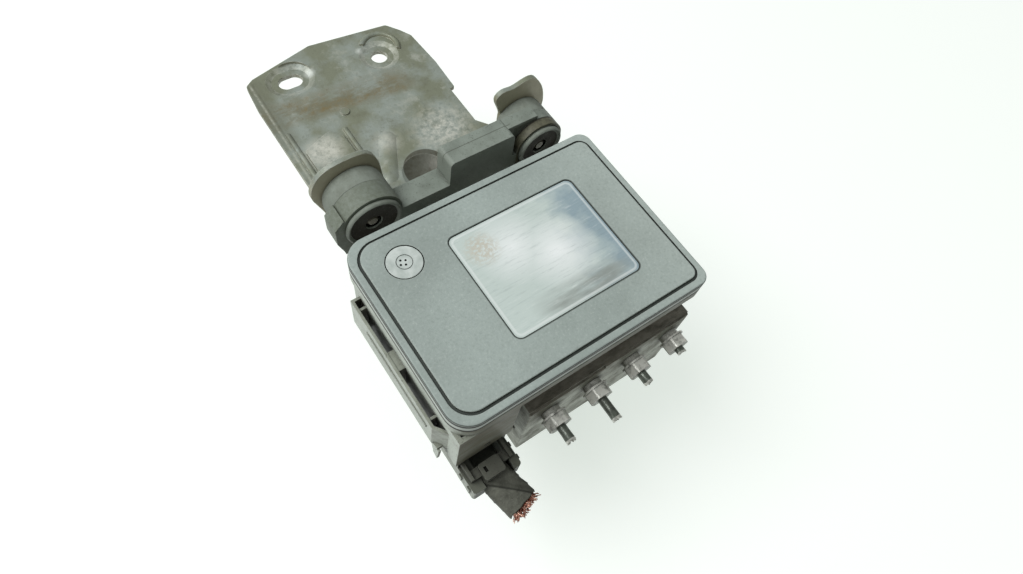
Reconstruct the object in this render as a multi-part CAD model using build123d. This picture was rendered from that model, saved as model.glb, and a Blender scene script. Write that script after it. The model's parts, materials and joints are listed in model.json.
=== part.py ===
from build123d import *
import os
from math import cos, radians, sin

# Brake pressure module: an aluminium valve block with its pump motor underneath and its
# plastic control unit on top, carried by a plastic cradle on two rubber mounts of a steel bracket.
#
# Frame: the origin is the centre of the motor's flat end face, on which the unit stands.
# +Z runs up the motor axis to the cover, X runs along the cover's long side, and +Y runs to
# the bracket. The brake pipes leave towards -Y. All sizes are in millimetres.

os.makedirs("parts", exist_ok=True)

# ---- Fits ----
press = 0.02             # radial clearance of parts that are pressed or screwed together
running = 0.08           # radial clearance of parts that turn or slide in one another
slide_gap = 0.3          # clearance of the moulded sliding parts

# ---- Pump motor ----
motor_d = 66.0
motor_length = 68.0      # from the end face to the block
can_wall = 1.8
can_corner = 3.0         # rounding of the drawn can's bottom edge
flange_t = 3.0
flange_ears = 3
ear_reach = 5.0          # screw axes outside the can's wall
ear_r = 5.0
motor_screw_r = 2.5
motor_screw_length = 12.0
shaft_r = 3.0
eccentric_r = 5.5
eccentricity = 1.0
ring_r = 9.0             # outer radius of the needle bearing on the eccentric
bearing_r = 8.0
bearing_width = 5.0
magnet_t = 5.5
magnet_arc = 140.0
air_gap = 0.7
armature_bottom = 15.0
armature_length = 26.0
armature_slots = 12
slot_w = 4.0
slot_depth = 9.0
winding_overhang = 4.0
commutator_r = 9.0
commutator_length = 9.0
brush_plate_t = 5.0
brush_w = 5.0
end_shield_t = 3.0
lead_r = 1.8             # moulded lead from the brush plate up to the circuit board
lead_from_valves = 3.8   # its axis, to the right of the last row of valves

# ---- Valve block ----
block_x = 93.0
block_y = 90.0
block_z = 53.5
block_edge = 0.6
chamber_r = 15.0
chamber_depth = 26.0
pump_z_above_block = 13.0
pump_bore_r = 6.0
piston_r = 4.0
piston_length = 12.0
liner_length = 20.0
pump_plug_length = 9.0
accumulator_x = 28.0
accumulator_z_above_block = 20.0
accumulator_r = 10.0
accumulator_depth = 26.0
accumulator_cap_t = 4.0
cup_gap = 1.0            # behind the piston cup, at the end of the bore
cup_length = 8.0
cup_wall = 2.0
spring_gap = 0.5         # from the spring to the cup's wall
accumulator_spring_t = 1.5
valve_columns = 4
valve_rows = 3
valve_pitch_x = 18.0
valve_pitch_y = 20.0
valve_bore_r = 4.5
valve_bore_depth = 22.0
valve_dome_r = 3.0
valve_dome_height = 17.5
outlet_count = 4
outlet_pitch = 24.0
outlet_drop = 15.0       # outlet axes below the top of the block
outlet_depth = 13.0
inlet_r = 5.5            # M12 ports for the two lines from the master cylinder
inlet_depth = 13.0
inlet_y_from_front = 8.0
plug_hole_r = 2.2
top_rebate = 2.0

# ---- Brake pipes and their nuts (M10 tube nuts, 11 mm across flats) ----
nut_thread_r = 4.85
nut_neck = 2.7
nut_flange_r = 6.6
nut_flange_t = 0.9
nut_flats = 11.0
nut_hex_length = 5.1
pipe_r = 2.375
pipe_wall = 0.75
crush_length = 5.0
pipe_reach = [16.9, 20.2, 14.8, 11.6]          # cut ends, measured out from the block
crushed_ends = [(1.9, 20.0), (1.6, -10.0), (2.0, 60.0), (1.7, 15.0)]   # half height, turn in degrees

# ---- Control unit ----
cover_x = 130.3
cover_y = 94.0
cover_corner_r = 11.0    # corners on the plug's side
cover_tight_r = 5.6      # corners on the other side
cover_overhang = 37.0    # the cover stands out past the block's left side by this
cover_setback = 1.8      # the cover's front stands this far behind the block's front
cover_height = 6.75
cover_wall = 2.2
rim_height = 6.25
rim_wall = 3.2
ecu_gap = 25.25          # from the top of the block to the joint of housing and cover
panel_left = 4.4
panel_right = 4.3
panel_front = 4.5
panel_back = 4.7
panel_height = 0.9
panel_corner_r = 9.0
panel_tight_r = 4.0
groove_w = 1.3
groove_depth = 0.7
panel_edge = 0.4         # rounding of the panel's edge
label_left = 40.4
label_front = 19.9
label_x = 66.1
label_y = 54.8
label_t = 0.2
label_recess = 0.5
label_gap = 0.35         # between the label and the edge of its recess
label_corner_r = 3.5
vent_left = 20.35
vent_front = 74.25
vent_r = 7.85
vent_t = 1.4
vent_gap = 0.4
vent_holes = 4
housing_wall = 2.2
housing_right = 16.3     # the lower housing stops short of the cover's right side by this
chamber_setback = 5.6    # and its front stands this far behind the block's front
ecu_screw_inset = 13.0   # front screws behind the block's front, clear of the left cross-drilling
floor_t = 2.0
seal_t = 1.2
coil_r = 8.5
coil_height = 16.0
coil_pin = 0.7
board_t = 1.6
board_standoff = 3.0
board_gap = 0.6
# Chips on the board: middle (x, y), length, width and height; then the round capacitors.
chips = [(-20.0, 5.0, 16.0, 16.0, 1.6), (8.0, 10.0, 12.0, 12.0, 1.6), (8.0, -14.0, 14.0, 9.0, 2.2),
         (-45.0, 8.0, 9.0, 14.0, 2.8), (-45.0, -18.0, 10.0, 10.0, 3.4), (26.0, -4.0, 7.0, 12.0, 3.0)]
capacitors_at = [(-25.0, -24.0), (-14.0, -24.0)]
capacitor_r = 4.0
capacitor_height = 3.4
ecu_screw_r = 2.0
ecu_screw_head_r = 3.5
ecu_screw_head_t = 2.5
ecu_screw_bite = 11.0
boss_r = 4.0

# ---- Connector header and plug ----
header_centre_left = 14.0     # centre of the socket, from the cover's left side
socket_x = 22.0
socket_y = 80.0
socket_wall = 2.2
header_x_right = 30.0         # right face of the header, from the cover's left side
skirt_out = 3.6               # the outer skirt stands out past the cover
skirt_t = 1.3
skirt_back = 80.0             # length of the skirt from the cover's front
skirt_top_drop = 13.25        # top of the skirt below the housing's joint with the cover
skirt_height = 21.0
header_height = 34.5          # floor underside to the socket's mouth
pin_plate_t = 3.0
pin_plate_up = 18.0           # pin plate above the mouth
pin_rows = 2
pins_per_row = 11
pin_pitch_x = 8.0
pin_pitch_y = 6.0
pin_size = 0.8
pin_reach = 10.0              # pins stand out of the pin plate by this
rail_t = 1.5
rail_height = 17.0
rail_foot = 4.3
peg_r = 1.4
peg_ys = [-12.0, 20.0]
lock_travel = 12.0
plug_travel = 8.0
plug_x = 25.0
plug_shift = 0.5               # plug's middle, to the right of the socket's middle
plug_front_out = 13.9         # the plug's front end ahead of the cover's front
plug_deck_drop = 5.0          # plug deck below the socket's mouth
plug_body_h = 11.0
plug_cover_h = 12.0
plug_cover_inset = 2.5         # the lower shell is this much smaller on each side and in front
plug_wall = 2.0
nose_gap = 3.0
bundle_w = 17.8
bundle_neck_w = 14.6           # width where the bundle leaves the plug
bundle_shift = 1.6             # its middle there, to the right of the socket's middle
bundle_h = 12.0
bundle_sink = 2.0              # the bundle lies this deep in the lower shell
bundle_end = (5.5, -13.6, -2.0)   # cut end, from the middle of the plug's front opening
wire_r = 1.1
wire_count = 13
wire_pitch = 2.8

# ---- Cradle and rubber mounts ----
cradle_gap = 18.0             # free space between the cover's back edge and the cradle
cradle_t = 12.0
cradle_wall = 2.5
mount_pitch = 95.7
mount_left = 25.3             # left mount axis, from the cover's left side
mount_drops = [21.5, 24.0]    # left and right mount axes below the cover's top face
ring_outer_rs = [15.8, 14.2]  # left and right ring
ring_t = 10.5
ring_bore_r = 10.5
ring_counterbore_r = 12.9
ring_counterbore_depth = 3.5
cradle_bottom_drop = 61.5
ring_foot_drop = 39.0          # lower end of the uprights below the rings
strip_t = 7.0                  # wall between the raised box and the right ring
ledge_drop = 23.0
box_left = 67.4
box_right = 104.2
box_drop = 7.0
leg_half_x = 12.0
leg_drop = 82.0
cradle_screw_x = 33.0
cradle_screw_drop = 11.5      # upper screws below the block's top
cradle_low_screw_up = 14.0    # lower screw above the block's bottom
cradle_boss_r = 7.0
cradle_screw_r = 3.0
cradle_screw_head_r = 5.0
cradle_screw_head_t = 4.0
cradle_screw_bite = 12.0
grommet_lip_r = 12.7
grommet_neck_r = 10.4
grommet_waist_r = 10.0
grommet_proud = 0.7
grommet_back = 9.0
stud_r = 4.0
stud_tip_out = 0.7            # stud tip ahead of the cradle's front face
stud_tip_chamfer = 1.9
stud_head_r = 8.0
stud_head_t = 2.5

# ---- Steel bracket ----
sheet_t = 2.5
bend_in = 3.0
plate_drop = 40.0             # plate's top face below the cover's top
# Ear outlines: distance from the mount axis and depth below the cover's top face.
left_ear_feet = [(20.8, 37.0), (-12.3, 37.0), (-14.3, 32.0)]
left_ear_crown = [(-18.2, 21.0), (-18.3, 10.0), (-13.2, 3.4), (-5.0, 0.6), (2.5, 0.3), (9.6, 1.6),
                  (14.3, 7.6), (16.3, 15.7), (19.0, 30.3)]
right_ear_feet = [(17.0, 37.0), (-10.4, 37.0)]
right_ear_crown = [(-10.4, 18.0), (-13.4, 9.0), (-13.8, 3.6), (-10.5, 1.3), (-5.0, 1.6), (-1.0, 0.8),
                   (3.0, -0.3), (7.5, -0.1), (11.0, 3.0), (15.8, 12.5), (17.2, 20.0)]
# Edge of the plate, from the left ear's outer side and from the line of the round hole.
plate_edge = [(-0.3, -5.0), (1.2, 12.1), (6.0, 15.3), (43.5, 24.3), (89.9, 19.2), (95.5, 11.7), (99.1, 5.3),
              (100.7, -19.0), (100.0, -40.0), (97.0, -40.5)]
hole_x = 4.5
hole_y = 175.8
hole_r = 4.65
slot_x = -47.0
slot_y = 181.7
slot_long = 13.5
slot_short = 9.3
dish_margin = 6.5
dish_slope = 3.0         # width of the dish's sloping side
dish_depth = 1.3
hole_crescent = (3.5, 5.2, 10.2, -36.0, 184.0)    # middle from the hole's, radius, start, sweep
slot_crescent = (3.0, 2.2, 8.4, -40.0, 190.0)
tongue_margin = 1.5      # the plate runs on forward between the ears, this far from each
tongue_front = 2.5       # and stops this far behind the cradle
pad_height = 1.8
bowl_r = 12.0
bowl_depth = 3.5
ridge_r = 9.0
ridge_height = 1.3
bead_r = 1.6


# ---- Places worked out from the sizes above ----
motor_r = motor_d / 2
ear_circle_r = motor_r + ear_reach
block_bottom = motor_length
block_top = block_bottom + block_z
block_left = -block_x / 2
block_right = block_x / 2
block_front = -block_y / 2
block_back = block_y / 2
cover_left = block_left - cover_overhang
cover_right = cover_left + cover_x
cover_front = block_front + cover_setback
cover_back = cover_front + cover_y
joint_z = block_top + ecu_gap
cover_top = joint_z + cover_height
rim_bottom = joint_z - rim_height
floor_bottom = rim_bottom
floor_top = floor_bottom + floor_t
board_bottom = floor_top + board_standoff
housing_bottom = block_top + seal_t
chamber_left = block_left
chamber_right = cover_right - housing_right
chamber_front = block_front + chamber_setback
chamber_back = block_back - cover_setback
pump_z = block_bottom + pump_z_above_block
outlet_z = block_top - outlet_drop
outlet_first = block_right - 8.0 - (outlet_count - 1) * outlet_pitch
outlet_xs = [outlet_first + i * outlet_pitch for i in range(outlet_count)]
inlets = [(block_left + 16.5, block_front + inlet_y_from_front),
          (block_right - 8.5, block_front + inlet_y_from_front)]
valve_mid_x = (chamber_left + chamber_right) / 2
valves = [(valve_mid_x + (i - (valve_columns - 1) / 2) * valve_pitch_x,
           (j - (valve_rows - 1) / 2) * valve_pitch_y)
          for i in range(valve_columns) for j in range(valve_rows)]
ecu_screws_at = [(chamber_left + boss_r, block_front + ecu_screw_inset),
                 (chamber_left + boss_r, block_back - 5.0),
                 (chamber_right - boss_r, block_front + ecu_screw_inset),
                 (accumulator_x - accumulator_r - 8.0, block_back - 5.0)]
lead_x = valve_mid_x + (valve_columns - 1) / 2 * valve_pitch_x + lead_from_valves
lead_y = -valve_pitch_y / 2

socket_x_mid = cover_left + header_centre_left
socket_mouth = floor_bottom - header_height
socket_front = cover_front + socket_wall
socket_back = socket_front + socket_y
pin_plate_bottom = socket_mouth + pin_plate_up
skirt_left = cover_left - skirt_out
skirt_top = joint_z - skirt_top_drop
plug_deck = socket_mouth - plug_deck_drop
plug_front = cover_front - plug_front_out
plug_back = cover_front + socket_y - 2.0
nose_x = socket_x - 2 * (rail_t + 2 * slide_gap)
nose_front = socket_front + 2.5
nose_back = socket_back - 2.5
nose_top = pin_plate_bottom - nose_gap
peg_z = socket_mouth + 4.0

cradle_front = cover_back + cradle_gap
cradle_back = cradle_front + cradle_t
cradle_screw_seat = cradle_back - cradle_screw_head_t
mounts = [(cover_left + mount_left, cover_top - mount_drops[0]),
          (cover_left + mount_left + mount_pitch, cover_top - mount_drops[1])]
ring_back = cradle_front + ring_t
cradle_screws_at = [(-cradle_screw_x, block_top - cradle_screw_drop),
                    (cradle_screw_x, block_top - cradle_screw_drop),
                    (0.0, block_bottom + cradle_low_screw_up)]
ear_front = cradle_back + grommet_back
ear_back = ear_front + sheet_t
plate_top = cover_top - plate_drop
plate_bottom = plate_top - sheet_t


# ---- Small helpers ----
def span(x0, x1, y0, y1, z0, z1):
    """Box between two corners."""
    return Pos((x0 + x1) / 2, (y0 + y1) / 2, (z0 + z1) / 2) * Box(x1 - x0, y1 - y0, z1 - z0)


def rod_z(x, y, r, z0, z1):
    return Pos(x, y, (z0 + z1) / 2) * Cylinder(r, z1 - z0)


def rod_y(x, z, r, y0, y1):
    return Pos(x, (y0 + y1) / 2, z) * Rot(90, 0, 0) * Cylinder(r, y1 - y0)


def rod_x(y, z, r, x0, x1):
    return Pos((x0 + x1) / 2, y, z) * Rot(0, 90, 0) * Cylinder(r, x1 - x0)


def tube_z(x, y, r_out, r_in, z0, z1):
    return rod_z(x, y, r_out, z0, z1) - rod_z(x, y, r_in, z0, z1)


def box_2d(x0, x1, y0, y1):
    return Pos((x0 + x1) / 2, (y0 + y1) / 2) * Rectangle(x1 - x0, y1 - y0)


def plan(x0, x1, y0, y1, left_r, right_r):
    """Rectangle with one corner radius on its left side and another on its right."""
    outline = box_2d(x0, x1, y0, y1)
    outline = fillet(outline.vertices().sort_by(Axis.X)[:2], left_r)
    return fillet(outline.vertices().sort_by(Axis.X)[-2:], right_r)


def slab(x0, x1, y0, y1, r, z0, z1):
    """Upright prism with rounded corners."""
    outline = RectangleRounded(x1 - x0, y1 - y0, r)
    return Pos((x0 + x1) / 2, (y0 + y1) / 2, z0) * extrude(outline, amount=z1 - z0)


def prism_y(outline, y0, y1):
    """Extrude an outline drawn in X and Z from y0 to y1."""
    face = Plane(origin=(0, y0, 0), x_dir=(1, 0, 0), z_dir=(0, -1, 0))
    return face * extrude(outline, amount=-(y1 - y0))


def prism_x(outline, x0, x1):
    """Extrude an outline drawn in Y and Z from x0 to x1."""
    face = Plane(origin=(x0, 0, 0), x_dir=(0, 1, 0), z_dir=(1, 0, 0))
    return face * extrude(outline, amount=x1 - x0)


def polygon(points):
    return make_face(Polyline(*points, close=True))


def save(name, *shapes):
    """Write one node, made of one or more separate solids."""
    solids = [solid for shape in shapes for solid in shape.solids()]
    shape = solids[0] if len(solids) == 1 else Compound(children=solids)
    export_step(shape, f"parts/{name}.step")
    print(f"{name}: {len(solids)} solid(s)")


# ---- Pump motor ----
def ear_places():
    turns = [90.0 + 360.0 / flange_ears * i for i in range(flange_ears)]
    return [(ear_circle_r * cos(radians(a)), ear_circle_r * sin(radians(a))) for a in turns]


can_inner_r = motor_r - can_wall
magnet_in_r = can_inner_r - magnet_t
armature_r = magnet_in_r - air_gap
armature_top = armature_bottom + armature_length
winding_top = armature_top + winding_overhang
commutator_bottom = winding_top + 0.5
commutator_top = commutator_bottom + commutator_length
brush_plate_bottom = commutator_bottom + 2.0
brush_plate_top = brush_plate_bottom + brush_plate_t
shield_bottom = motor_length - end_shield_t
rear_bearing_bottom = can_wall + 1.0
shaft_bottom = rear_bearing_bottom
front_bearing_bottom = shield_bottom - 2.0
eccentric_bottom = pump_z - 4.0
eccentric_top = pump_z + 4.0


can_rim = motor_length - flange_t


def motor_can():
    """Deep-drawn steel cup with a seat for the rear bearing."""
    can = rod_z(0, 0, motor_r, 0, can_rim)
    can = fillet(can.edges().sort_by(Axis.Z)[0], can_corner)
    can -= rod_z(0, 0, can_inner_r, can_wall, can_rim)
    can += tube_z(0, 0, bearing_r + 2.0, bearing_r + press, can_wall, rear_bearing_bottom + bearing_width)
    return can


def motor_flange():
    """Stamped plate with three ears, welded to the can's rim."""
    outline = Circle(motor_r)
    for x, y in ear_places():
        outline += Pos(x, y) * Circle(ear_r)
        outline += make_hull((Circle(2 * ear_r) + Pos(x, y) * Circle(ear_r)).edges())
    flange = Pos(0, 0, can_rim) * extrude(outline, amount=flange_t)
    flange -= rod_z(0, 0, can_inner_r, can_rim, motor_length)
    for x, y in ear_places():
        flange -= rod_z(x, y, motor_screw_r + running, can_rim, motor_length)
    return flange


def end_shield():
    """Steel plate that closes the can and holds the front bearing."""
    plate = rod_z(0, 0, can_inner_r - press, shield_bottom, motor_length)
    plate -= rod_z(0, 0, chamber_r - 3.0, motor_length - 1.0, motor_length)
    plate += rod_z(0, 0, bearing_r + 2.0, front_bearing_bottom, shield_bottom)
    plate -= rod_z(0, 0, bearing_r + press, front_bearing_bottom, front_bearing_bottom + bearing_width)
    plate -= rod_z(0, 0, shaft_r + 1.0, shield_bottom, motor_length)
    plate -= rod_z(lead_x, lead_y, lead_r + running, shield_bottom, motor_length)
    return plate


def magnets():
    ring = tube_z(0, 0, can_inner_r - press, magnet_in_r, armature_bottom - 2.0, armature_top + 2.0)
    reach = 2 * motor_r
    half = radians(magnet_arc / 2)
    wedge = polygon([(0, 0), (reach * cos(half), -reach * sin(half)), (reach, -reach), (reach, reach),
                     (reach * cos(half), reach * sin(half))])
    sector = extrude(wedge, amount=motor_length)
    return [ring & sector, ring & (Rot(0, 0, 180) * sector)]


def shaft():
    """Ground shaft with the pump eccentric turned on its upper end."""
    pin = rod_z(0, 0, shaft_r, shaft_bottom, eccentric_top + 4.0)
    pin += rod_z(eccentricity, 0, eccentric_r, eccentric_bottom, eccentric_top)
    return pin


def slot_bars(width, r_in, r_out, z0, z1):
    bars = []
    for i in range(armature_slots):
        bars.append(Rot(0, 0, 360.0 / armature_slots * i) * span(r_in, r_out, -width / 2, width / 2, z0, z1))
    return bars


def armature_core():
    core = tube_z(0, 0, armature_r, shaft_r + press, armature_bottom, armature_top)
    for bar in slot_bars(slot_w, armature_r - slot_depth, armature_r + 1.0, armature_bottom, armature_top):
        core -= bar
    return core


def armature_winding():
    """Copper bars in the slots, joined by the end turns above and below the core."""
    inner = armature_r - slot_depth + press
    outer = armature_r - 1.0
    low = armature_bottom - winding_overhang
    coil = tube_z(0, 0, outer, inner, armature_top, winding_top)
    coil += tube_z(0, 0, outer, inner, low, armature_bottom)
    for bar in slot_bars(slot_w - 2 * press, inner, outer, low, winding_top):
        coil += bar
    return coil


def commutator():
    drum = tube_z(0, 0, commutator_r, shaft_r + press, commutator_bottom, commutator_top)
    for bar in slot_bars(0.6, commutator_r - 1.0, commutator_r + 1.0, commutator_bottom, commutator_top):
        drum -= bar
    return drum


def brush_plate():
    plate = tube_z(0, 0, can_inner_r - press, commutator_r + 1.5, brush_plate_bottom, brush_plate_top)
    channel = span(-can_inner_r + 6.0, can_inner_r - 6.0, -brush_w / 2 - press, brush_w / 2 + press,
                   brush_plate_bottom + 1.0, brush_plate_top)
    return plate - channel


def brushes():
    inner = commutator_r + press
    outer = can_inner_r - 6.0 - press
    z0 = brush_plate_bottom + 1.0
    brush = span(inner, outer, -brush_w / 2, brush_w / 2, z0, brush_plate_top)
    brush -= rod_z(0, 0, commutator_r + press, z0, brush_plate_top)
    return [brush, Rot(0, 0, 180) * brush]


def bearings():
    bearing = tube_z(0, 0, bearing_r, shaft_r + press, rear_bearing_bottom,
                     rear_bearing_bottom + bearing_width)
    return [bearing, Pos(0, 0, front_bearing_bottom - rear_bearing_bottom) * bearing]


def eccentric_ring():
    return tube_z(eccentricity, 0, ring_r, eccentric_r + press, eccentric_bottom, eccentric_top)


def motor_lead():
    """Insulated pillar that carries the motor current from the brushes up to the board."""
    return rod_z(lead_x, lead_y, lead_r, brush_plate_top, board_bottom)


def motor_screws():
    screws = []
    for x, y in ear_places():
        low = motor_length - flange_t
        screw = rod_z(x, y, motor_screw_r, low, low + motor_screw_length)
        head = rod_z(x, y, motor_screw_r * 1.8, low - 3.0, low)
        head -= Pos(x, y, low - 3.0) * extrude(RegularPolygon(motor_screw_r * 0.9, 6), amount=1.8)
        screws.append(screw + head)
    return screws


# ---- Valve block ----
def hydraulic_block():
    """Sawn aluminium block with its bores for ports, valves, pump, accumulators and screws."""
    block = span(block_left, block_right, block_front, block_back, block_bottom, block_top)
    block = chamfer(block.edges().filter_by(Axis.Z), block_edge)
    # The top front edge is machined back on both sides of a short raised stop.
    stop = -1.5
    block -= span(block_left, stop - 3.0, block_front, block_front + 1.0, block_top - top_rebate, block_top)
    block -= span(stop + 3.0, block_right, block_front, block_front + 1.0,
                  block_top - top_rebate / 2, block_top)
    for x in outlet_xs:
        block -= rod_y(x, outlet_z, nut_thread_r + press, block_front, block_front + outlet_depth)
        block -= rod_y(x, outlet_z, pipe_r, block_front, block_front + outlet_depth + 4.0)
    for x, y in inlets:
        block -= rod_z(x, y, inlet_r, block_bottom, block_bottom + inlet_depth)
        block -= rod_z(x, y, pipe_r, block_bottom, block_bottom + inlet_depth + 4.0)
    for x, y in valves:
        block -= rod_z(x, y, valve_bore_r, block_top - valve_bore_depth, block_top)
    block -= rod_z(0, 0, chamber_r, block_bottom, block_bottom + chamber_depth)
    block -= rod_x(0, pump_z, pump_bore_r, block_left, block_right)
    for side in (-1, 1):
        block -= rod_y(side * accumulator_x, block_bottom + accumulator_z_above_block, accumulator_r,
                       block_back - accumulator_depth, block_back)
    for x, y in ear_places():
        block -= rod_z(x, y, motor_screw_r + press, block_bottom, block_bottom + motor_screw_length)
    for x, y in ecu_screws_at:
        block -= rod_z(x, y, ecu_screw_r + 0.2, block_bottom, block_top)
    for x, z in cradle_screws_at:
        block -= rod_y(x, z, cradle_screw_r + press, block_back - cradle_screw_bite - 1.0, block_back)
    block -= rod_z(lead_x, lead_y, lead_r + running, block_bottom, block_top)
    # Blind cross-drilling low on the left side.
    block -= rod_x(block_front + 7.4, block_bottom + 19.5, plug_hole_r, block_left, block_left + 8.0)
    return block


def solenoid_valves():
    """Turned valve bodies with the thin-walled dome that the coil slips over."""
    bodies = []
    for x, y in valves:
        body = rod_z(x, y, valve_bore_r - press, block_top - valve_bore_depth + 1.0, block_top)
        body += rod_z(x, y, valve_dome_r, block_top, block_top + valve_dome_height)
        bodies.append(body)
    return bodies


def pump_liners():
    inner = chamber_r + 0.5
    bore = piston_r + running
    liner = rod_x(0, pump_z, pump_bore_r - press, inner, inner + liner_length)
    liner -= rod_x(0, pump_z, bore, inner, inner + liner_length)
    return [liner, Rot(0, 0, 180) * liner]


piston_inner = ring_r + eccentricity + running


def pump_pistons():
    """Pistons at the outer end of their stroke, clear of the turning eccentric."""
    piston = rod_x(0, pump_z, piston_r, piston_inner, piston_inner + piston_length)
    piston -= rod_x(0, pump_z, piston_r - cup_wall, piston_inner + 4.0, piston_inner + piston_length)
    return [piston, Rot(0, 0, 180) * piston]


def pump_springs():
    """Springs behind the pistons, drawn as the sleeve that their coils fill."""
    start = piston_inner + piston_length
    end = block_right - pump_plug_length
    spring = rod_x(0, pump_z, piston_r - 0.2, start, end) - rod_x(0, pump_z, piston_r - 1.2, start, end)
    return [spring, Rot(0, 0, 180) * spring]


def pump_plugs():
    start = block_right - pump_plug_length
    plug = rod_x(0, pump_z, pump_bore_r - press, start, block_right)
    plug -= rod_x(0, pump_z, pump_bore_r - 3.0, block_right - 2.0, block_right)
    return [plug, Rot(0, 0, 180) * plug]


def accumulator_parts():
    """Low-pressure accumulators: piston cup, spring and closing cap, one set a side."""
    z = block_bottom + accumulator_z_above_block
    back = block_back - accumulator_depth
    cap_front = block_back - accumulator_cap_t
    pistons, springs, caps = [], [], []
    for side in (-1, 1):
        x = side * accumulator_x
        cup_back = back + cup_gap
        spring_back = cup_back + cup_wall
        spring_r = accumulator_r - cup_wall - spring_gap
        cup = rod_y(x, z, accumulator_r - running, cup_back, cup_back + cup_length)
        cup -= rod_y(x, z, accumulator_r - cup_wall, spring_back, cup_back + cup_length)
        spring = rod_y(x, z, spring_r, spring_back, cap_front)
        spring -= rod_y(x, z, spring_r - accumulator_spring_t, spring_back, cap_front)
        cap = rod_y(x, z, accumulator_r - press, cap_front, block_back)
        cap -= rod_y(x, z, accumulator_r - 4.0, block_back - 1.5, block_back)
        pistons.append(cup)
        springs.append(spring)
        caps.append(cap)
    return pistons, springs, caps


# ---- Brake pipes ----
def brake_nut(x):
    """Tube nut: threaded shank in the port, neck, washer face and hexagon."""
    flange_in = block_front - nut_neck
    hex_in = flange_in - nut_flange_t
    hex_out = hex_in - nut_hex_length
    shank_end = block_front + outlet_depth - 3.0
    nut = rod_y(x, outlet_z, nut_thread_r, flange_in, shank_end)
    nut += rod_y(x, outlet_z, nut_flange_r, hex_in, flange_in)
    hexagon = Pos(x, outlet_z) * RegularPolygon(nut_flats / 2, 6, major_radius=False)
    head = prism_y(hexagon, hex_out, hex_in)
    head &= rod_y(x, outlet_z, nut_flats / 2 * 1.11, hex_out, hex_in)
    nut += head
    nut -= rod_y(x, outlet_z, pipe_r + press, hex_out, shank_end)
    return nut


def pipe_stub(x, reach, end_half_z, twist):
    """Cut pipe: flare inside the port, straight run through the nut and a pinched open end."""
    flare_in = block_front + outlet_depth - 3.0
    flare_out = block_front + outlet_depth
    cut = block_front - reach
    nut_out = block_front - nut_neck - nut_flange_t - nut_hex_length
    pinch_start = min(cut + crush_length, nut_out - 0.3)
    bore_r = pipe_r - pipe_wall
    bore_half = end_half_z - pipe_wall
    pipe = rod_y(x, outlet_z, pipe_r, cut, flare_in)
    pipe += rod_y(x, outlet_z, nut_thread_r - 1.0, flare_in, flare_out)
    bore = rod_y(x, outlet_z, bore_r, cut, flare_out)
    # The cutter has pressed the end flat: both the outside and the bore narrow towards the cut.
    for side in (-1, 1):
        z = [outlet_z + side * h for h in (pipe_r, end_half_z, bore_r, bore_half)]
        far = outlet_z + side * 2 * pipe_r
        outside = prism_x(polygon([(pinch_start, z[0]), (cut, z[1]), (cut, far), (pinch_start, far)]),
                          x - 2 * pipe_r, x + 2 * pipe_r)
        inside = prism_x(polygon([(pinch_start, z[2]), (cut, z[3]), (cut, far), (pinch_start, far)]),
                         x - 2 * pipe_r, x + 2 * pipe_r)
        pipe -= outside
        bore -= inside
    pipe -= bore
    return Pos(x, 0, outlet_z) * Rot(0, twist, 0) * Pos(-x, 0, -outlet_z) * pipe


# ---- Control unit ----
def cover_plate(inset, z0, z1):
    """Plate in the control unit's plan, smaller by the inset all round."""
    outline = plan(cover_left + inset, cover_right - inset, cover_front + inset, cover_back - inset,
                   cover_corner_r - inset, cover_tight_r - inset)
    return Pos(0, 0, z0) * extrude(outline, amount=z1 - z0)


def panel_plate(grow, z0, z1):
    outline = plan(cover_left + panel_left - grow, cover_right - panel_right + grow,
                   cover_front + panel_front - grow, cover_back - panel_back + grow,
                   panel_corner_r + grow, panel_tight_r + grow)
    return Pos(0, 0, z0) * extrude(outline, amount=z1 - z0)


def ecu_cover():
    """Moulded lid: skirt, raised panel with its groove, label recess and vent seat."""
    lid = cover_plate(0.0, joint_z, cover_top)
    lid = fillet(lid.faces().sort_by(Axis.Z)[-1].edges(), 0.8)
    lid -= cover_plate(0.0, joint_z, joint_z + 0.5) - cover_plate(0.4, joint_z, joint_z + 0.5)
    lid -= panel_plate(groove_w, cover_top - groove_depth, cover_top)
    panel = panel_plate(0.0, cover_top - groove_depth, cover_top + panel_height)
    lid += fillet(panel.faces().sort_by(Axis.Z)[-1].edges(), panel_edge)
    lid -= cover_plate(cover_wall, joint_z, cover_top - cover_wall)
    panel_top = cover_top + panel_height
    lid -= slab(cover_left + label_left, cover_left + label_left + label_x, cover_front + label_front,
                cover_front + label_front + label_y, label_corner_r, panel_top - label_recess, panel_top)
    vx = cover_left + vent_left
    vy = cover_front + vent_front
    lid -= rod_z(vx, vy, vent_r + vent_gap, panel_top - vent_t, panel_top)
    lid -= rod_z(vx, vy, vent_r - 3.0, cover_top - cover_wall, panel_top)
    return lid


def label_plate():
    x0 = cover_left + label_left + label_gap
    y0 = cover_front + label_front + label_gap
    z0 = cover_top + panel_height - label_recess
    return slab(x0, x0 + label_x - 2 * label_gap, y0, y0 + label_y - 2 * label_gap, label_corner_r - label_gap,
                z0, z0 + label_t)


def vent_cap():
    """Pressed-in vent disc with a stepped middle and small breather holes."""
    x = cover_left + vent_left
    y = cover_front + vent_front
    z1 = cover_top + panel_height
    z0 = z1 - vent_t
    disc = rod_z(x, y, vent_r, z0, z1)
    disc = fillet(disc.edges().sort_by(Axis.Z)[-1], 0.3)
    disc -= tube_z(x, y, vent_r * 0.46, vent_r * 0.42, z1 - 0.3, z1)
    for i in range(vent_holes):
        turn = radians(360.0 / vent_holes * i + 20.0)
        disc -= rod_z(x + 1.5 * cos(turn) - 0.6, y + 1.5 * sin(turn), 0.5, z0, z1)
    return disc


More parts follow.
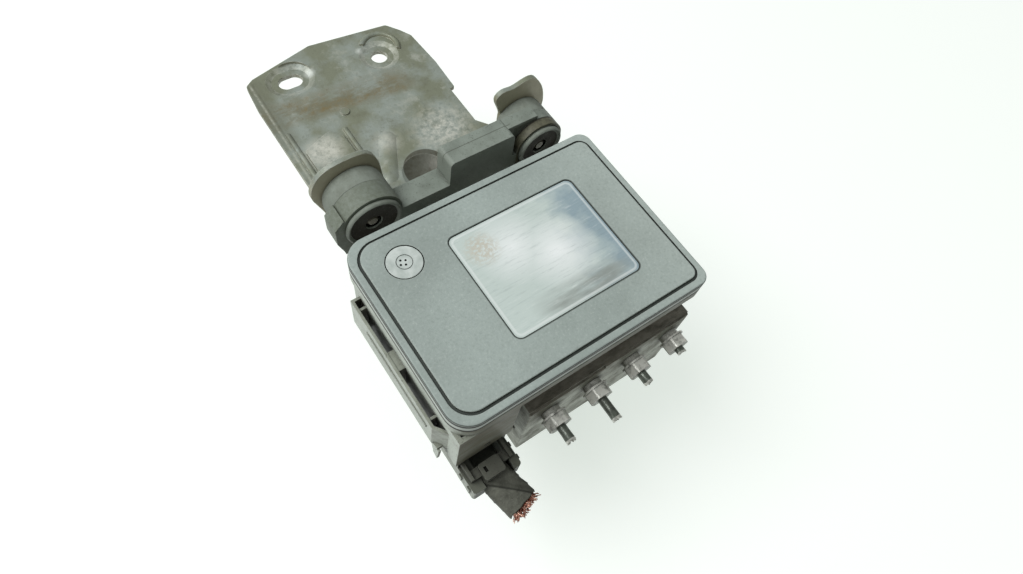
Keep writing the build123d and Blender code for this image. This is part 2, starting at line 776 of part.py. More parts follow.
def skirt_outline():
    """Plan of the header's outer skirt, with its stepped front left corner."""
    right = cover_left + header_x_right
    return polygon([(skirt_left, cover_front + skirt_back), (skirt_left, cover_front + 13.2),
                    (cover_left + 1.0, cover_front + 7.1), (cover_left + 1.2, cover_front + 1.3),
                    (cover_left + 2.7, cover_front), (right, cover_front),
                    (right, cover_front + skirt_back)])


def pin_places():
    places = []
    mid_y = (socket_front + socket_back) / 2
    for i in range(pin_rows):
        for j in range(pins_per_row):
            places.append((socket_x_mid + (i - (pin_rows - 1) / 2) * pin_pitch_x,
                           mid_y + (j - (pins_per_row - 1) / 2) * pin_pitch_y))
    return places


def ecu_housing():
    """Moulded housing: rim under the cover, coil chamber over the block and plug header."""
    rim = cover_plate(0.0, rim_bottom, joint_z) - cover_plate(rim_wall, floor_top, joint_z)
    chamber = span(chamber_left, chamber_right, chamber_front, chamber_back, housing_bottom, floor_bottom)
    chamber = fillet(chamber.edges().filter_by(Axis.Z), 2.0)
    hollow = span(chamber_left + housing_wall, chamber_right - housing_wall, chamber_front + housing_wall,
                  chamber_back - housing_wall, housing_bottom, floor_bottom)
    hollow = fillet(hollow.edges().filter_by(Axis.Z), 1.0)
    chamber -= hollow
    for x, y in ecu_screws_at:
        chamber += rod_z(x, y, boss_r, housing_bottom, floor_bottom) & span(
            chamber_left, chamber_right, chamber_front, chamber_back, housing_bottom, floor_bottom)

    # The socket is a box with its mouth downwards, inside an outer skirt that is open above.
    socket_left = socket_x_mid - socket_x / 2
    socket_right = socket_x_mid + socket_x / 2
    right = cover_left + header_x_right
    skirt = Pos(0, 0, skirt_top - skirt_height) * extrude(skirt_outline(), amount=skirt_height)
    inside = offset(skirt_outline(), -skirt_t, kind=Kind.INTERSECTION)
    skirt -= Pos(0, 0, skirt_top - skirt_height) * extrude(inside, amount=skirt_height)
    socket = span(socket_left - socket_wall, right, cover_front, socket_back + socket_wall,
                  socket_mouth, floor_bottom)
    header = skirt + socket
    header -= span(socket_left, socket_right, socket_front, socket_back, socket_mouth, pin_plate_bottom)
    header -= span(socket_left, socket_right, socket_front, socket_back,
                   pin_plate_bottom + pin_plate_t, floor_bottom)
    header -= span(socket_right + socket_wall, right - socket_wall, socket_front, socket_back,
                   socket_mouth, floor_bottom)
    # Cross ribs tie the skirt to the socket, one of them widened to a block.
    rib_bottom = skirt_top - skirt_height
    for y, width, drop in [(17.0, 1.2, 0.6), (46.0, 9.6, 0.3), (74.3, 1.2, 0.6)]:
        header += span(skirt_left + skirt_t / 2, socket_left - socket_wall / 2, cover_front + y - width / 2,
                       cover_front + y + width / 2, rib_bottom, skirt_top - drop)
    # Stiffening ribs along the skirt, and a guide tab below its front corner.
    for drop in (5.9, 7.3):
        header += span(skirt_left - 0.5, skirt_left + 0.5, cover_front + 17.0, cover_front + 66.0,
                       skirt_top - drop - 0.7, skirt_top - drop)
    tab = polygon([(cover_front + 7.5, rib_bottom + 2.0), (cover_front + 13.5, rib_bottom + 2.0),
                   (cover_front + 11.5, rib_bottom - 9.0), (cover_front + 8.5, rib_bottom - 11.0)])
    header += prism_x(tab, skirt_left + 0.2, skirt_left + 0.2 + skirt_t)
    header += span(skirt_left + 0.2, skirt_left + 6.0, cover_front + 9.0, cover_front + 12.0,
                   rib_bottom, rib_bottom + 3.0)
    # Shallow slit in the front wall, above the plug's thumb bridge.
    header -= span(cover_left + 15.0, cover_left + 18.5, cover_front, cover_front + 1.2,
                   socket_mouth + 3.5, socket_mouth + 6.5)
    # Cam pegs for the slide lock.
    for y in peg_ys:
        header += rod_x(y, peg_z, peg_r, socket_left - 0.5, socket_left + rail_t + slide_gap)
        header += rod_x(y, peg_z, peg_r, socket_right - rail_t - slide_gap, socket_right + 0.5)
    housing = rim + chamber + header
    for x, y in ecu_screws_at:
        housing -= rod_z(x, y, ecu_screw_r + press, housing_bottom, housing_bottom + ecu_screw_bite + 1.0)
    for x, y in valves:
        housing -= span(x - 4.5, x + 4.5, y - 0.8, y + 0.8, floor_bottom, floor_top)
    housing -= rod_z(lead_x, lead_y, lead_r + running, floor_bottom, floor_top)
    half = pin_size / 2 + 0.05
    for x, y in pin_places():
        housing -= span(x - half, x + half, y - half, y + half, pin_plate_bottom, floor_top)
    for x, y in board_posts():
        housing += rod_z(x, y, 3.0, floor_top, board_bottom)
    return housing


def board_posts():
    inset = rim_wall + 4.0
    return [(x, y) for x in (cover_left + inset, cover_right - inset)
            for y in (cover_front + inset, cover_back - inset)]


def connector_pins():
    half = pin_size / 2
    return [span(x - half, x + half, y - half, y + half, pin_plate_bottom - pin_reach, board_bottom)
            for x, y in pin_places()]


def ecu_seal():
    ring = slab(chamber_left + 0.2, chamber_right - 0.2, chamber_front + 0.2, chamber_back - 0.2, 2.0,
                block_top, housing_bottom)
    ring -= slab(chamber_left + housing_wall, chamber_right - housing_wall, chamber_front + housing_wall,
                 chamber_back - housing_wall, 1.0, block_top, housing_bottom)
    for x, y in ecu_screws_at:
        ring -= rod_z(x, y, ecu_screw_r + 0.2, block_top, housing_bottom)
    return ring


def solenoid_coils():
    """Encased coils, each with the two pins that rise through the floor to the board."""
    coils = []
    z0 = floor_bottom - 1.0 - coil_height
    for x, y in valves:
        coil = tube_z(x, y, coil_r, valve_dome_r + running, z0, z0 + coil_height)
        for side in (-1, 1):
            px = x + side * (valve_dome_r + 0.7)
            coil += span(px - coil_pin / 2, px + coil_pin / 2, y - coil_pin / 2, y + coil_pin / 2,
                         z0 + coil_height - 1.0, board_bottom)
        coils.append(coil)
    return coils


def circuit_board():
    gap = rim_wall + board_gap
    return slab(cover_left + gap, cover_right - gap, cover_front + gap, cover_back - gap,
                cover_corner_r - gap, board_bottom, board_bottom + board_t)


def board_components():
    """Processor, driver chips, choke and capacitors on the upper side of the board."""
    z0 = board_bottom + board_t
    parts = [span(x - a / 2, x + a / 2, y - b / 2, y + b / 2, z0, z0 + h) for x, y, a, b, h in chips]
    for x, y in capacitors_at:
        parts.append(rod_z(x, y, capacitor_r, z0, z0 + capacitor_height))
    return parts


def ecu_screws():
    screws = []
    for x, y in ecu_screws_at:
        screw = rod_z(x, y, ecu_screw_r, block_bottom, housing_bottom + ecu_screw_bite)
        head = rod_z(x, y, ecu_screw_head_r, block_bottom - ecu_screw_head_t, block_bottom)
        head -= Pos(x, y, block_bottom - ecu_screw_head_t) * extrude(RegularPolygon(1.9, 6), amount=1.5)
        screws.append(screw + head)
    return screws


# ---- Plug ----
plug_left = socket_x_mid + plug_shift - plug_x / 2
plug_right = plug_left + plug_x
plug_low = plug_deck - plug_body_h
channel_half = bundle_neck_w / 2 + 0.3
channel_x = socket_x_mid + bundle_shift
rail_in = socket_x / 2 - slide_gap
rail_foot_bottom = plug_deck + 0.2
rail_foot_top = rail_foot_bottom + rail_foot
rail_top = rail_foot_bottom + rail_height


def plug_body():
    """Upper half of the plug: deck, nose with its contact slots and guide ribs for the lock."""
    body = slab(plug_left, plug_right, plug_front, plug_back, 1.5, plug_low, plug_deck)
    body += span(socket_x_mid - nose_x / 2, socket_x_mid + nose_x / 2, nose_front, nose_back,
                 plug_deck, nose_top)
    # Low ribs under the header's walls keep the lock's rails in line.
    for side in (-1, 1):
        inner = socket_x_mid + side * (socket_x / 2 + 0.1)
        outer = plug_left if side < 0 else plug_right
        body += span(min(inner, outer), max(inner, outer), plug_front + 14.0, plug_back - 3.0,
                     plug_deck, rail_foot_top)
        # Two small latch lugs on each side wall.
        for y in (plug_front + 3.0, plug_front + 9.5):
            body += span(min(outer, outer + side * 0.9), max(outer, outer + side * 0.9), y, y + 2.2,
                         plug_deck - 6.0, plug_deck - 1.0)
    # Wire channel, open above and to the front.
    body -= span(channel_x - channel_half, channel_x + channel_half, plug_front, nose_front - 1.0,
                 plug_low, plug_deck)
    half = pin_size / 2 + 0.15
    for x, y in pin_places():
        body -= span(x - half, x + half, y - half, y + half, nose_top - 16.0, nose_top)
    return body


def plug_cover():
    """Lower shell that turns the wires forward and carries the bundle."""
    x0 = plug_left + plug_cover_inset
    x1 = plug_right - plug_cover_inset
    low = plug_low - plug_cover_h
    shell = slab(x0, x1, plug_front + plug_cover_inset, plug_back, 1.5, low, plug_low)
    shell = fillet(shell.faces().sort_by(Axis.Z)[0].edges(), 1.2)
    shell -= span(x0 + plug_wall, x1 - plug_wall, nose_front, plug_back - plug_wall,
                  low + plug_wall, plug_low)
    shell -= span(channel_x - channel_half, channel_x + channel_half, plug_front, nose_front,
                  plug_low - bundle_sink, plug_low)
    return shell


def slide_lock():
    """U-shaped slide: two rails with slanted cam slots and a windowed thumb bridge in front."""
    run = lock_travel
    rise = plug_travel
    foot_front = plug_front + 5.0
    high_front = socket_front + lock_travel + 1.2
    high_back = nose_back - 0.5
    rails = []
    for side in (-1, 1):
        outer = socket_x_mid + side * rail_in
        inner = socket_x_mid + side * (rail_in - rail_t)
        x0, x1 = min(outer, inner), max(outer, inner)
        rail = span(x0, x1, foot_front, high_back, rail_foot_bottom, rail_foot_top)
        rail += span(x0, x1, high_front, high_back, rail_foot_bottom, rail_top)
        for y in peg_ys:
            half = peg_r + 0.15
            ends = Pos(y, peg_z) * Circle(half) + Pos(y + run, peg_z + rise) * Circle(half)
            slot = make_hull(ends.edges())
            rail -= prism_x(slot, x0, x1)
            rail -= span(x0, x1, y + run - half, y + run + half, peg_z + rise, rail_top)
        rails.append(rail)
    bar_z = rail_foot_bottom + 2.0
    lock = rails[0] + rails[1]
    lock += span(socket_x_mid - rail_in, socket_x_mid + rail_in, foot_front, foot_front + 4.5,
                 rail_foot_bottom, bar_z)
    thumb = slab(socket_x_mid - 5.2, socket_x_mid + 5.2, plug_front + 1.6, foot_front + 4.5, 1.2,
                 rail_foot_bottom, rail_foot_top)
    window = span(socket_x_mid - 3.4, socket_x_mid - 2.0, plug_front + 4.8, plug_front + 7.4,
                  rail_foot_bottom + 1.2, rail_foot_top)
    return lock + (thumb - window)


def bundle_sections():
    """Three points along the taped bundle: in the plug, at its mouth and at the cut."""
    z = plug_low + bundle_h / 2 - bundle_sink
    start = (channel_x, nose_front - 2.0, z)
    mouth = (channel_x, plug_front, z)
    end = (socket_x_mid + bundle_end[0], plug_front + bundle_end[1], z + bundle_end[2])
    return start, mouth, end


def bundle_section(point, width, height):
    across = Plane(origin=point, x_dir=(1, 0, 0), z_dir=(0, -1, 0))
    return across * RectangleRounded(width, height, height / 2 - 0.5)


def harness_stub():
    """Flattened taped bundle, cut off a little way outside the plug."""
    start, mouth, end = bundle_sections()
    inner = extrude(bundle_section(start, bundle_neck_w, bundle_h), amount=start[1] - mouth[1])
    outer = loft([bundle_section(mouth, bundle_neck_w, bundle_h),
                  bundle_section(end, bundle_w, bundle_h - 1.5)])
    return inner + outer


def wire_ends():
    """Ends of the single wires that stand out of the cut bundle by uneven lengths."""
    cut = Plane(origin=bundle_sections()[-1], x_dir=(1, 0, 0), z_dir=(0, -1, 0))
    wires = []
    for i in range(wire_count):
        row = i % 3
        place = (i // 3 - 2) * wire_pitch + (wire_pitch / 2 if row == 1 else 0.0)
        length = 2.0 + (i * 7 % 5) * 0.8
        wires.append(cut * (Pos(place, (row - 1) * wire_pitch, length / 2) * Cylinder(wire_r, length)))
    return wires


# ---- Cradle ----
def cradle():
    """Moulded carrier: a deep plate with a ring at each end and three legs to the block."""
    left_x, right_x = mounts[0][0], mounts[1][0]
    left_r, right_r = ring_outer_rs
    low = cover_top - cradle_bottom_drop
    ledge = cover_top - ledge_drop
    box_top = cover_top - box_drop
    leg_low = cover_top - leg_drop
    box_x0 = cover_left + box_left
    box_x1 = cover_left + box_right
    plate_x0 = left_x + left_r - 6.0
    plate_x1 = right_x - right_r + 6.0
    outline = box_2d(plate_x0, plate_x1, low, ledge)
    outline += fillet(box_2d(box_x0, box_x1, low + 1.0, box_top).vertices().sort_by(Axis.Y)[-2:], 2.5)
    outline += box_2d(-leg_half_x, leg_half_x, leg_low, low + 1.0)
    body = prism_y(outline, cradle_front, cradle_back)
    # Each ring stands on an upright; the left one bulges to the side.
    foot = cover_top - ring_foot_drop
    wing = polygon([(left_x - 14.0, cover_top - 12.0), (left_x - 18.7, cover_top - 17.0),
                    (left_x - 18.7, cover_top - 28.0), (left_x - 15.0, foot), (left_x, foot)])
    for (x, z), r in zip(mounts, ring_outer_rs):
        ring = Pos(x, z) * Circle(r) + box_2d(x - r + 0.4, x + r - 0.4, foot, z)
        body += prism_y(ring + wing if x == left_x else ring, cradle_front, ring_back)
    body += span(box_x1 - 1.0, right_x, cradle_back - strip_t, cradle_back, low, box_top - 0.3)

    # Pockets are open at the back; the leg has one of its own.
    inner = cradle_front + cradle_wall
    half = cradle_wall / 2
    body -= span(plate_x0 + 7.0, box_x0 - half, inner, cradle_back, low + cradle_wall, ledge - cradle_wall)
    body -= span(cradle_wall - leg_half_x, leg_half_x - cradle_wall, inner, cradle_back,
                 leg_low + cradle_wall, low - half)
    # Bosses reach forward to the block; each has a rib above and below it.
    for x, z in cradle_screws_at:
        body += rod_y(x, z, cradle_boss_r, block_back, cradle_back)
        web = polygon([(block_back + 4.0, z), (cradle_front + 1.0, z + cradle_boss_r),
                       (cradle_front + 1.0, z - cradle_boss_r - 5.0)])
        body += prism_x(web, x - cradle_wall / 2, x + cradle_wall / 2)
        body -= rod_y(x, z, cradle_screw_head_r + 0.5, cradle_screw_seat, cradle_back)
        body -= rod_y(x, z, cradle_screw_r + 0.2, block_back, cradle_screw_seat)
    for x, z in mounts:
        body -= rod_y(x, z, ring_bore_r, cradle_front, ring_back)
        body -= rod_y(x, z, grommet_lip_r + 0.4, ring_back, cradle_back)
        body -= rod_y(x, z, ring_counterbore_r, cradle_front, cradle_front + ring_counterbore_depth)
    return body


def cradle_screws():
    """Long socket screws that run through the cradle's bosses into the block."""
    screws = []
    for x, z in cradle_screws_at:
        seat = cradle_screw_seat
        screw = rod_y(x, z, cradle_screw_r, block_back - cradle_screw_bite, seat)
        head = rod_y(x, z, cradle_screw_head_r, seat, seat + cradle_screw_head_t)
        socket = prism_y(Pos(x, z) * RegularPolygon(2.9, 6), seat + 1.5, seat + cradle_screw_head_t)
        screws.append(screw + head - socket)
    return screws


def grommet(x, z):
    """Rubber mount: front lip in the ring's counterbore, neck, and a waisted back buffer."""
    seat = cradle_front + ring_counterbore_depth
    face = cradle_front - grommet_proud
    body = rod_y(x, z, grommet_lip_r, face, seat)
    body = fillet(body.edges().sort_by(Axis.Y)[0], 0.8)
    body += rod_y(x, z, grommet_neck_r, seat, ring_back)
    body += rod_y(x, z, grommet_lip_r, ring_back, ear_front)
    mid = (ring_back + ear_front) / 2
    body -= rod_y(x, z, grommet_lip_r, mid - 1.0, mid + 1.0) - rod_y(
        x, z, grommet_waist_r, mid - 1.0, mid + 1.0)
    body -= rod_y(x, z, stud_r + press, face, ear_front)
    body -= rod_y(x, z, grommet_lip_r - 1.8, face, face + 0.6)
    body -= rod_y(x, z, stud_r + 0.8, face, face + 1.6)
    return body


def mount_stud(x, z):
    """Headed pin, pushed through the ear from behind, that the rubber mount sits on."""
    pin = rod_y(x, z, stud_r, cradle_front - stud_tip_out, ear_back)
    pin = chamfer(pin.edges().sort_by(Axis.Y)[0], stud_tip_chamfer)
    pin += rod_y(x, z, stud_head_r, ear_back, ear_back + stud_head_t)
    return pin


# ---- Bracket ----
bend_y = ear_back + bend_in
bend_z = plate_top + bend_in


def bend(x0, x1):
    """Quarter bend that joins an upright ear to the plate."""
    section = Pos(bend_y, bend_z) * (Circle(bend_in + sheet_t) - Circle(bend_in))
    section &= Pos(bend_y - 10.0, bend_z - 10.0) * Rectangle(20.0, 20.0)
    return prism_x(section, x0, x1)


def ear(x_mid, feet, crown):
    """Upright ear over the bend, with a curved crown."""
    foot_points = [(x_mid + x, cover_top - drop) for x, drop in feet]
    crown_points = [(x_mid + x, cover_top - drop) for x, drop in crown]
    feet_line = Polyline(crown_points[-1], *foot_points, crown_points[0])
    outline = make_face(Curve() + [Spline(crown_points), feet_line])
    return prism_y(outline, ear_front, ear_back)


def sloped(outline, z0, z1):
    """Loft from an outline at z0 to a smaller one at z1."""
    return loft(Sketch() + [Pos(0, 0, z0) * outline, Pos(0, 0, z1) * offset(outline, -dish_slope)])


def crescent(x, y, r, start, turn):
    """Bead raised from the plate along an arc."""
    arc = CenterArc((x, y, plate_top), r, start, turn)
    section = Plane(origin=arc @ 0, x_dir=(0, 0, 1), z_dir=arc % 0) * Circle(bead_r)
    buried = span(x - 2 * r, x + 2 * r, y - 2 * r, y + 2 * r, plate_top - bead_r - 1.0, plate_top - 0.5)
    return sweep(section, path=arc) - buried


def bracket():
    """Folded and pressed sheet: plate with two upright ears, dished holes, pads and beads."""
    left_x, right_x = mounts[0][0], mounts[1][0]
    x0 = left_x + left_ear_feet[1][0]
    right_in = x0 + plate_edge[-1][0]
    right_out = right_x + right_ear_feet[0][0]
    plate_points = [(x0, bend_y)] + [(x0 + x, hole_y + y) for x, y in plate_edge]
    plate_points += [(right_in, bend_y + 14.0), (right_in + 7.0, bend_y + 5.0),
                     (right_out, bend_y + 3.0), (right_out, bend_y)]
    plate = Pos(0, 0, plate_bottom) * extrude(polygon(plate_points), amount=sheet_t)
    rounded = plate.edges().filter_by(Axis.Z).filter_by(lambda e: e.center().Y > hole_y + 3.0)
    plate = fillet(rounded, 2.5)
    tongue_x0 = left_x + left_ear_feet[0][0] + tongue_margin
    tongue_x1 = right_x + right_ear_feet[1][0] - tongue_margin
    tongue_y0 = cradle_back + tongue_front
    sheet = plate + span(tongue_x0, tongue_x1, tongue_y0, bend_y + 1.0, plate_bottom, plate_top)
    for (x, z), feet, crown in zip(mounts, (left_ear_feet, right_ear_feet), (left_ear_crown, right_ear_crown)):
        sheet += bend(x + feet[1][0], x + feet[0][0])
        sheet += ear(x, feet, crown) - rod_y(x, z, stud_r + press, ear_front, ear_back)

    # Dished seats round the two fixing holes, each with a crescent bead beside it.
    dish = Circle(hole_r + dish_margin)
    slot = SlotOverall(slot_long, slot_short)
    slot_dish = SlotOverall(slot_long + 2 * dish_margin, slot_short + 2 * dish_margin)
    seats = [(hole_x, hole_y, dish, hole_crescent), (slot_x, slot_y, slot_dish, slot_crescent)]
    for x, y, shape, (out_x, out_y, r, start, turn) in seats:
        sheet += crescent(x + out_x, y + out_y, r, start, turn)
        sheet += Pos(x, y) * sloped(shape, plate_bottom, plate_bottom - dish_depth)
        sheet -= Pos(x, y) * sloped(shape, plate_top, plate_top - dish_depth)
        sheet -= Pos(x, y, plate_top) * extrude(shape, amount=2 * bead_r)
    # Raised foot pad, hollow below.
    pad = polygon([(left_x - 4.3, bend_y + 1.5), (left_x + 18.7, bend_y + 1.5), (left_x + 17.2, bend_y + 38.2),
                   (left_x + 12.2, bend_y + 43.7), (left_x - 4.3, bend_y + 37.7)])
    pad = fillet(pad.vertices(), 3.0)
    sheet += Pos(0, 0, plate_top) * extrude(pad, amount=pad_height)
    sheet -= Pos(0, 0, plate_bottom) * extrude(offset(pad, -2.0), amount=pad_height)
    # Round beads pressed up along the sheet.
    beads = [((x0 + 33.0, bend_y + 2.0), (x0 + 33.0, bend_y + 42.0), bead_r, 1.1),
             ((x0 + 5.5, bend_y + 12.0), (x0 + 5.5, bend_y + 52.0), bead_r, 1.1),
             ((x0 + 49.0, bend_y + 26.0), (x0 + 38.0, bend_y + 4.0), ridge_r, ridge_height)]
    for a, b, r, height in beads:
        sheet += half_bead(a, b, r, height)
    sheet += rod_z(x0 + 38.4, bend_y + 52.5, 2.5, plate_top, plate_top + 0.8)
    # Round bowl behind the cradle.
    bowl_x = x0 + 55.0
    bowl_y = bend_y - 2.8
    ball_r = (bowl_r ** 2 + bowl_depth ** 2) / (2 * bowl_depth)
    ball_at = Pos(bowl_x, bowl_y, plate_top - bowl_depth + ball_r)
    sheet += ball_at * Sphere(ball_r + sheet_t) & span(
        bowl_x - 2 * bowl_r, bowl_x + 2 * bowl_r, tongue_y0, bowl_y + 2 * bowl_r,
        plate_bottom - 2 * bowl_depth, plate_bottom)
    sheet -= ball_at * Sphere(ball_r)
    sheet -= rod_z(hole_x, hole_y, hole_r, plate_bottom - 5.0, plate_top + 5.0)
    sheet -= Pos(slot_x, slot_y, plate_bottom - 5.0) * extrude(slot, amount=sheet_t + 10.0)
    return sheet


def half_bead(a, b, r, height):
    """Round-topped bead on the plate between two points."""
    run = Vector(b[0] - a[0], b[1] - a[1], 0)
    axis_z = plate_top + height - r
    line = Plane(origin=(a[0], a[1], axis_z), z_dir=run, x_dir=(0, 0, 1))
    bead = line * (Pos(0, 0, run.length / 2) * Cylinder(r, run.length))
    for x, y in (a, b):
        bead += Pos(x, y, axis_z) * Sphere(r)
    low = plate_top - 0.5
    return bead & span(min(a[0], b[0]) - r, max(a[0], b[0]) + r, min(a[1], b[1]) - r, max(a[1], b[1]) + r,
                       low, low + 2 * r)


# ---- Write every piece ----
save("motor_can", motor_can())
save("motor_flange", motor_flange())
save("motor_end_shield", end_shield())
save("motor_magnets", *magnets())
save("motor_shaft", shaft())
save("armature_core", armature_core())
save("armature_winding", armature_winding())
save("commutator", commutator())
save("brush_plate", brush_plate())
save("brushes", *brushes())
save("motor_bearings", *bearings())
save("eccentric_ring", eccentric_ring())
save("motor_lead", motor_lead())
save("motor_screws", *motor_screws())
save("hydraulic_block", hydraulic_block())
save("solenoid_valves", *solenoid_valves())
save("pump_liners", *pump_liners())
save("pump_pistons", *pump_pistons())
save("pump_springs", *pump_springs())
save("pump_plugs", *pump_plugs())
accumulator_pistons, accumulator_springs, accumulator_caps = accumulator_parts()
save("accumulator_pistons", *accumulator_pistons)
save("accumulator_springs", *accumulator_springs)
save("accumulator_caps", *accumulator_caps)
for number, x in enumerate(outlet_xs):
    save(f"brake_nut_{number + 1}", brake_nut(x))
    save(f"pipe_stub_{number + 1}", pipe_stub(x, pipe_reach[number], *crushed_ends[number]))
save("ecu_cover", ecu_cover())
save("label_plate", label_plate())
save("vent_cap", vent_cap())
save("ecu_housing", ecu_housing())
save("connector_pins", *connector_pins())
save("ecu_seal", ecu_seal())
save("solenoid_coils", *solenoid_coils())
save("circuit_board", circuit_board())
save("board_components", *board_components())
save("ecu_screws", *ecu_screws())
save("plug_body", plug_body())
save("plug_cover", plug_cover())
save("slide_lock", slide_lock())
save("harness_stub", harness_stub())
save("wire_ends", *wire_ends())
save("cradle", cradle())
save("cradle_screws", *cradle_screws())
for side, (x, z) in zip(("left", "right"), mounts):
    save(f"grommet_{side}", grommet(x, z))
    save(f"mount_stud_{side}", mount_stud(x, z))
save("bracket", bracket())
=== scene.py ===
# %% [markdown]
# # A brake pressure module, taken off the car
# The frame loaded below is the mechanical model: a light-alloy valve block
# with a motor under it, an electronics housing with its pale, dusty cover,
# a plug with a cut harness, and the steel bracket that carried it all on two
# rubber mounts. Each solid keeps its shape and gets the finish it has after
# years under a bonnet. Four things are modelled anew, because a rigid solid
# can't show them well: the rubber mounts, the torn pipe ends, the taped bundle
# and its cut wires.

# %% Load the frame
import json
import math
import random

import bmesh
import bpy
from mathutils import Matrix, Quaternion, Vector, noise


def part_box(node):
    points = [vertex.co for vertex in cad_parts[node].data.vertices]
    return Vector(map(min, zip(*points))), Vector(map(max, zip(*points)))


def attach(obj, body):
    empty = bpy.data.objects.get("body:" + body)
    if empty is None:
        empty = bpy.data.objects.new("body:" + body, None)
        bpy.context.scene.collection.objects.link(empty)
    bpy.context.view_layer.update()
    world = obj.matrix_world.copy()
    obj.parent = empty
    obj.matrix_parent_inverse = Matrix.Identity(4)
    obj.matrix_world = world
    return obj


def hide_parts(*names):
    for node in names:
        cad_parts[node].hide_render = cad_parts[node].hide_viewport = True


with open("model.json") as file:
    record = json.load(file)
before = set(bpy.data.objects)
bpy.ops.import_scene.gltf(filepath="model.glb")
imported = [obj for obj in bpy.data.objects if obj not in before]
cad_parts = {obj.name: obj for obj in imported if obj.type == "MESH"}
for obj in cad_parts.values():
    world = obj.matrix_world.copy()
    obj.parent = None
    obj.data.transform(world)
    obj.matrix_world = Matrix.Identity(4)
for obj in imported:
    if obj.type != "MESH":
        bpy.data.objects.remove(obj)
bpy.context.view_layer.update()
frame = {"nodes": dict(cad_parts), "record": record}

# %% [markdown]
# ## The camera
# The module is looked down on from its front left. A camera is easiest to set
# by three plain facts: where the eye is, what it looks at, and how far it is
# rolled about its own line of sight. The lens length then sets the framing.

# %% Place the camera
MM = 0.001


def mm(x, y, z):
    """A point given in millimetres, as Blender's metres."""
    return Vector((x, y, z)) * MM


eye = mm(-132.15, -96.01, 406.34)
look_at = mm(-17.84, 11.19, 120.0)
roll = math.radians(13.9)
focal_length = 24.39

lens = bpy.data.cameras.new("camera")
lens.sensor_width = 36.0
lens.lens = focal_length
lens.clip_start = 0.01
camera = bpy.data.objects.new("camera", lens)
camera.location = eye
camera.rotation_euler = (
    (look_at - eye).to_track_quat("-Z", "Y") @ Quaternion((0, 0, 1), roll)
).to_euler()
bpy.context.scene.collection.objects.link(camera)
bpy.context.scene.camera = camera
print("camera", round((look_at - eye).length, 3), "m from the cover")

# %% [markdown]
# ## A maker of finishes
# Every finish here is a node tree, and all of them need the same few things:
# blotches of some size, a mask of worn edges, a mask of hollows where painted
# shade goes, dust on what faces up. A small class with one method for each
# keeps the recipes short: a finish starts from one colour, and every coat lays
# another over it where all of its masks are on. Sizes are in millimetres;
# places come from object coordinates, so the pattern stays on the piece when
# it moves.

# %% Define the finish class


def rgb(red, green, blue):
    """A display colour from 0 to 255, as the linear colour that nodes use."""
    out = []
    for part in (red, green, blue):
        part = part / 255
        out.append(part / 12.92 if part <= 0.04045 else ((part + 0.055) / 1.055) ** 2.4)
    return (*out, 1.0)


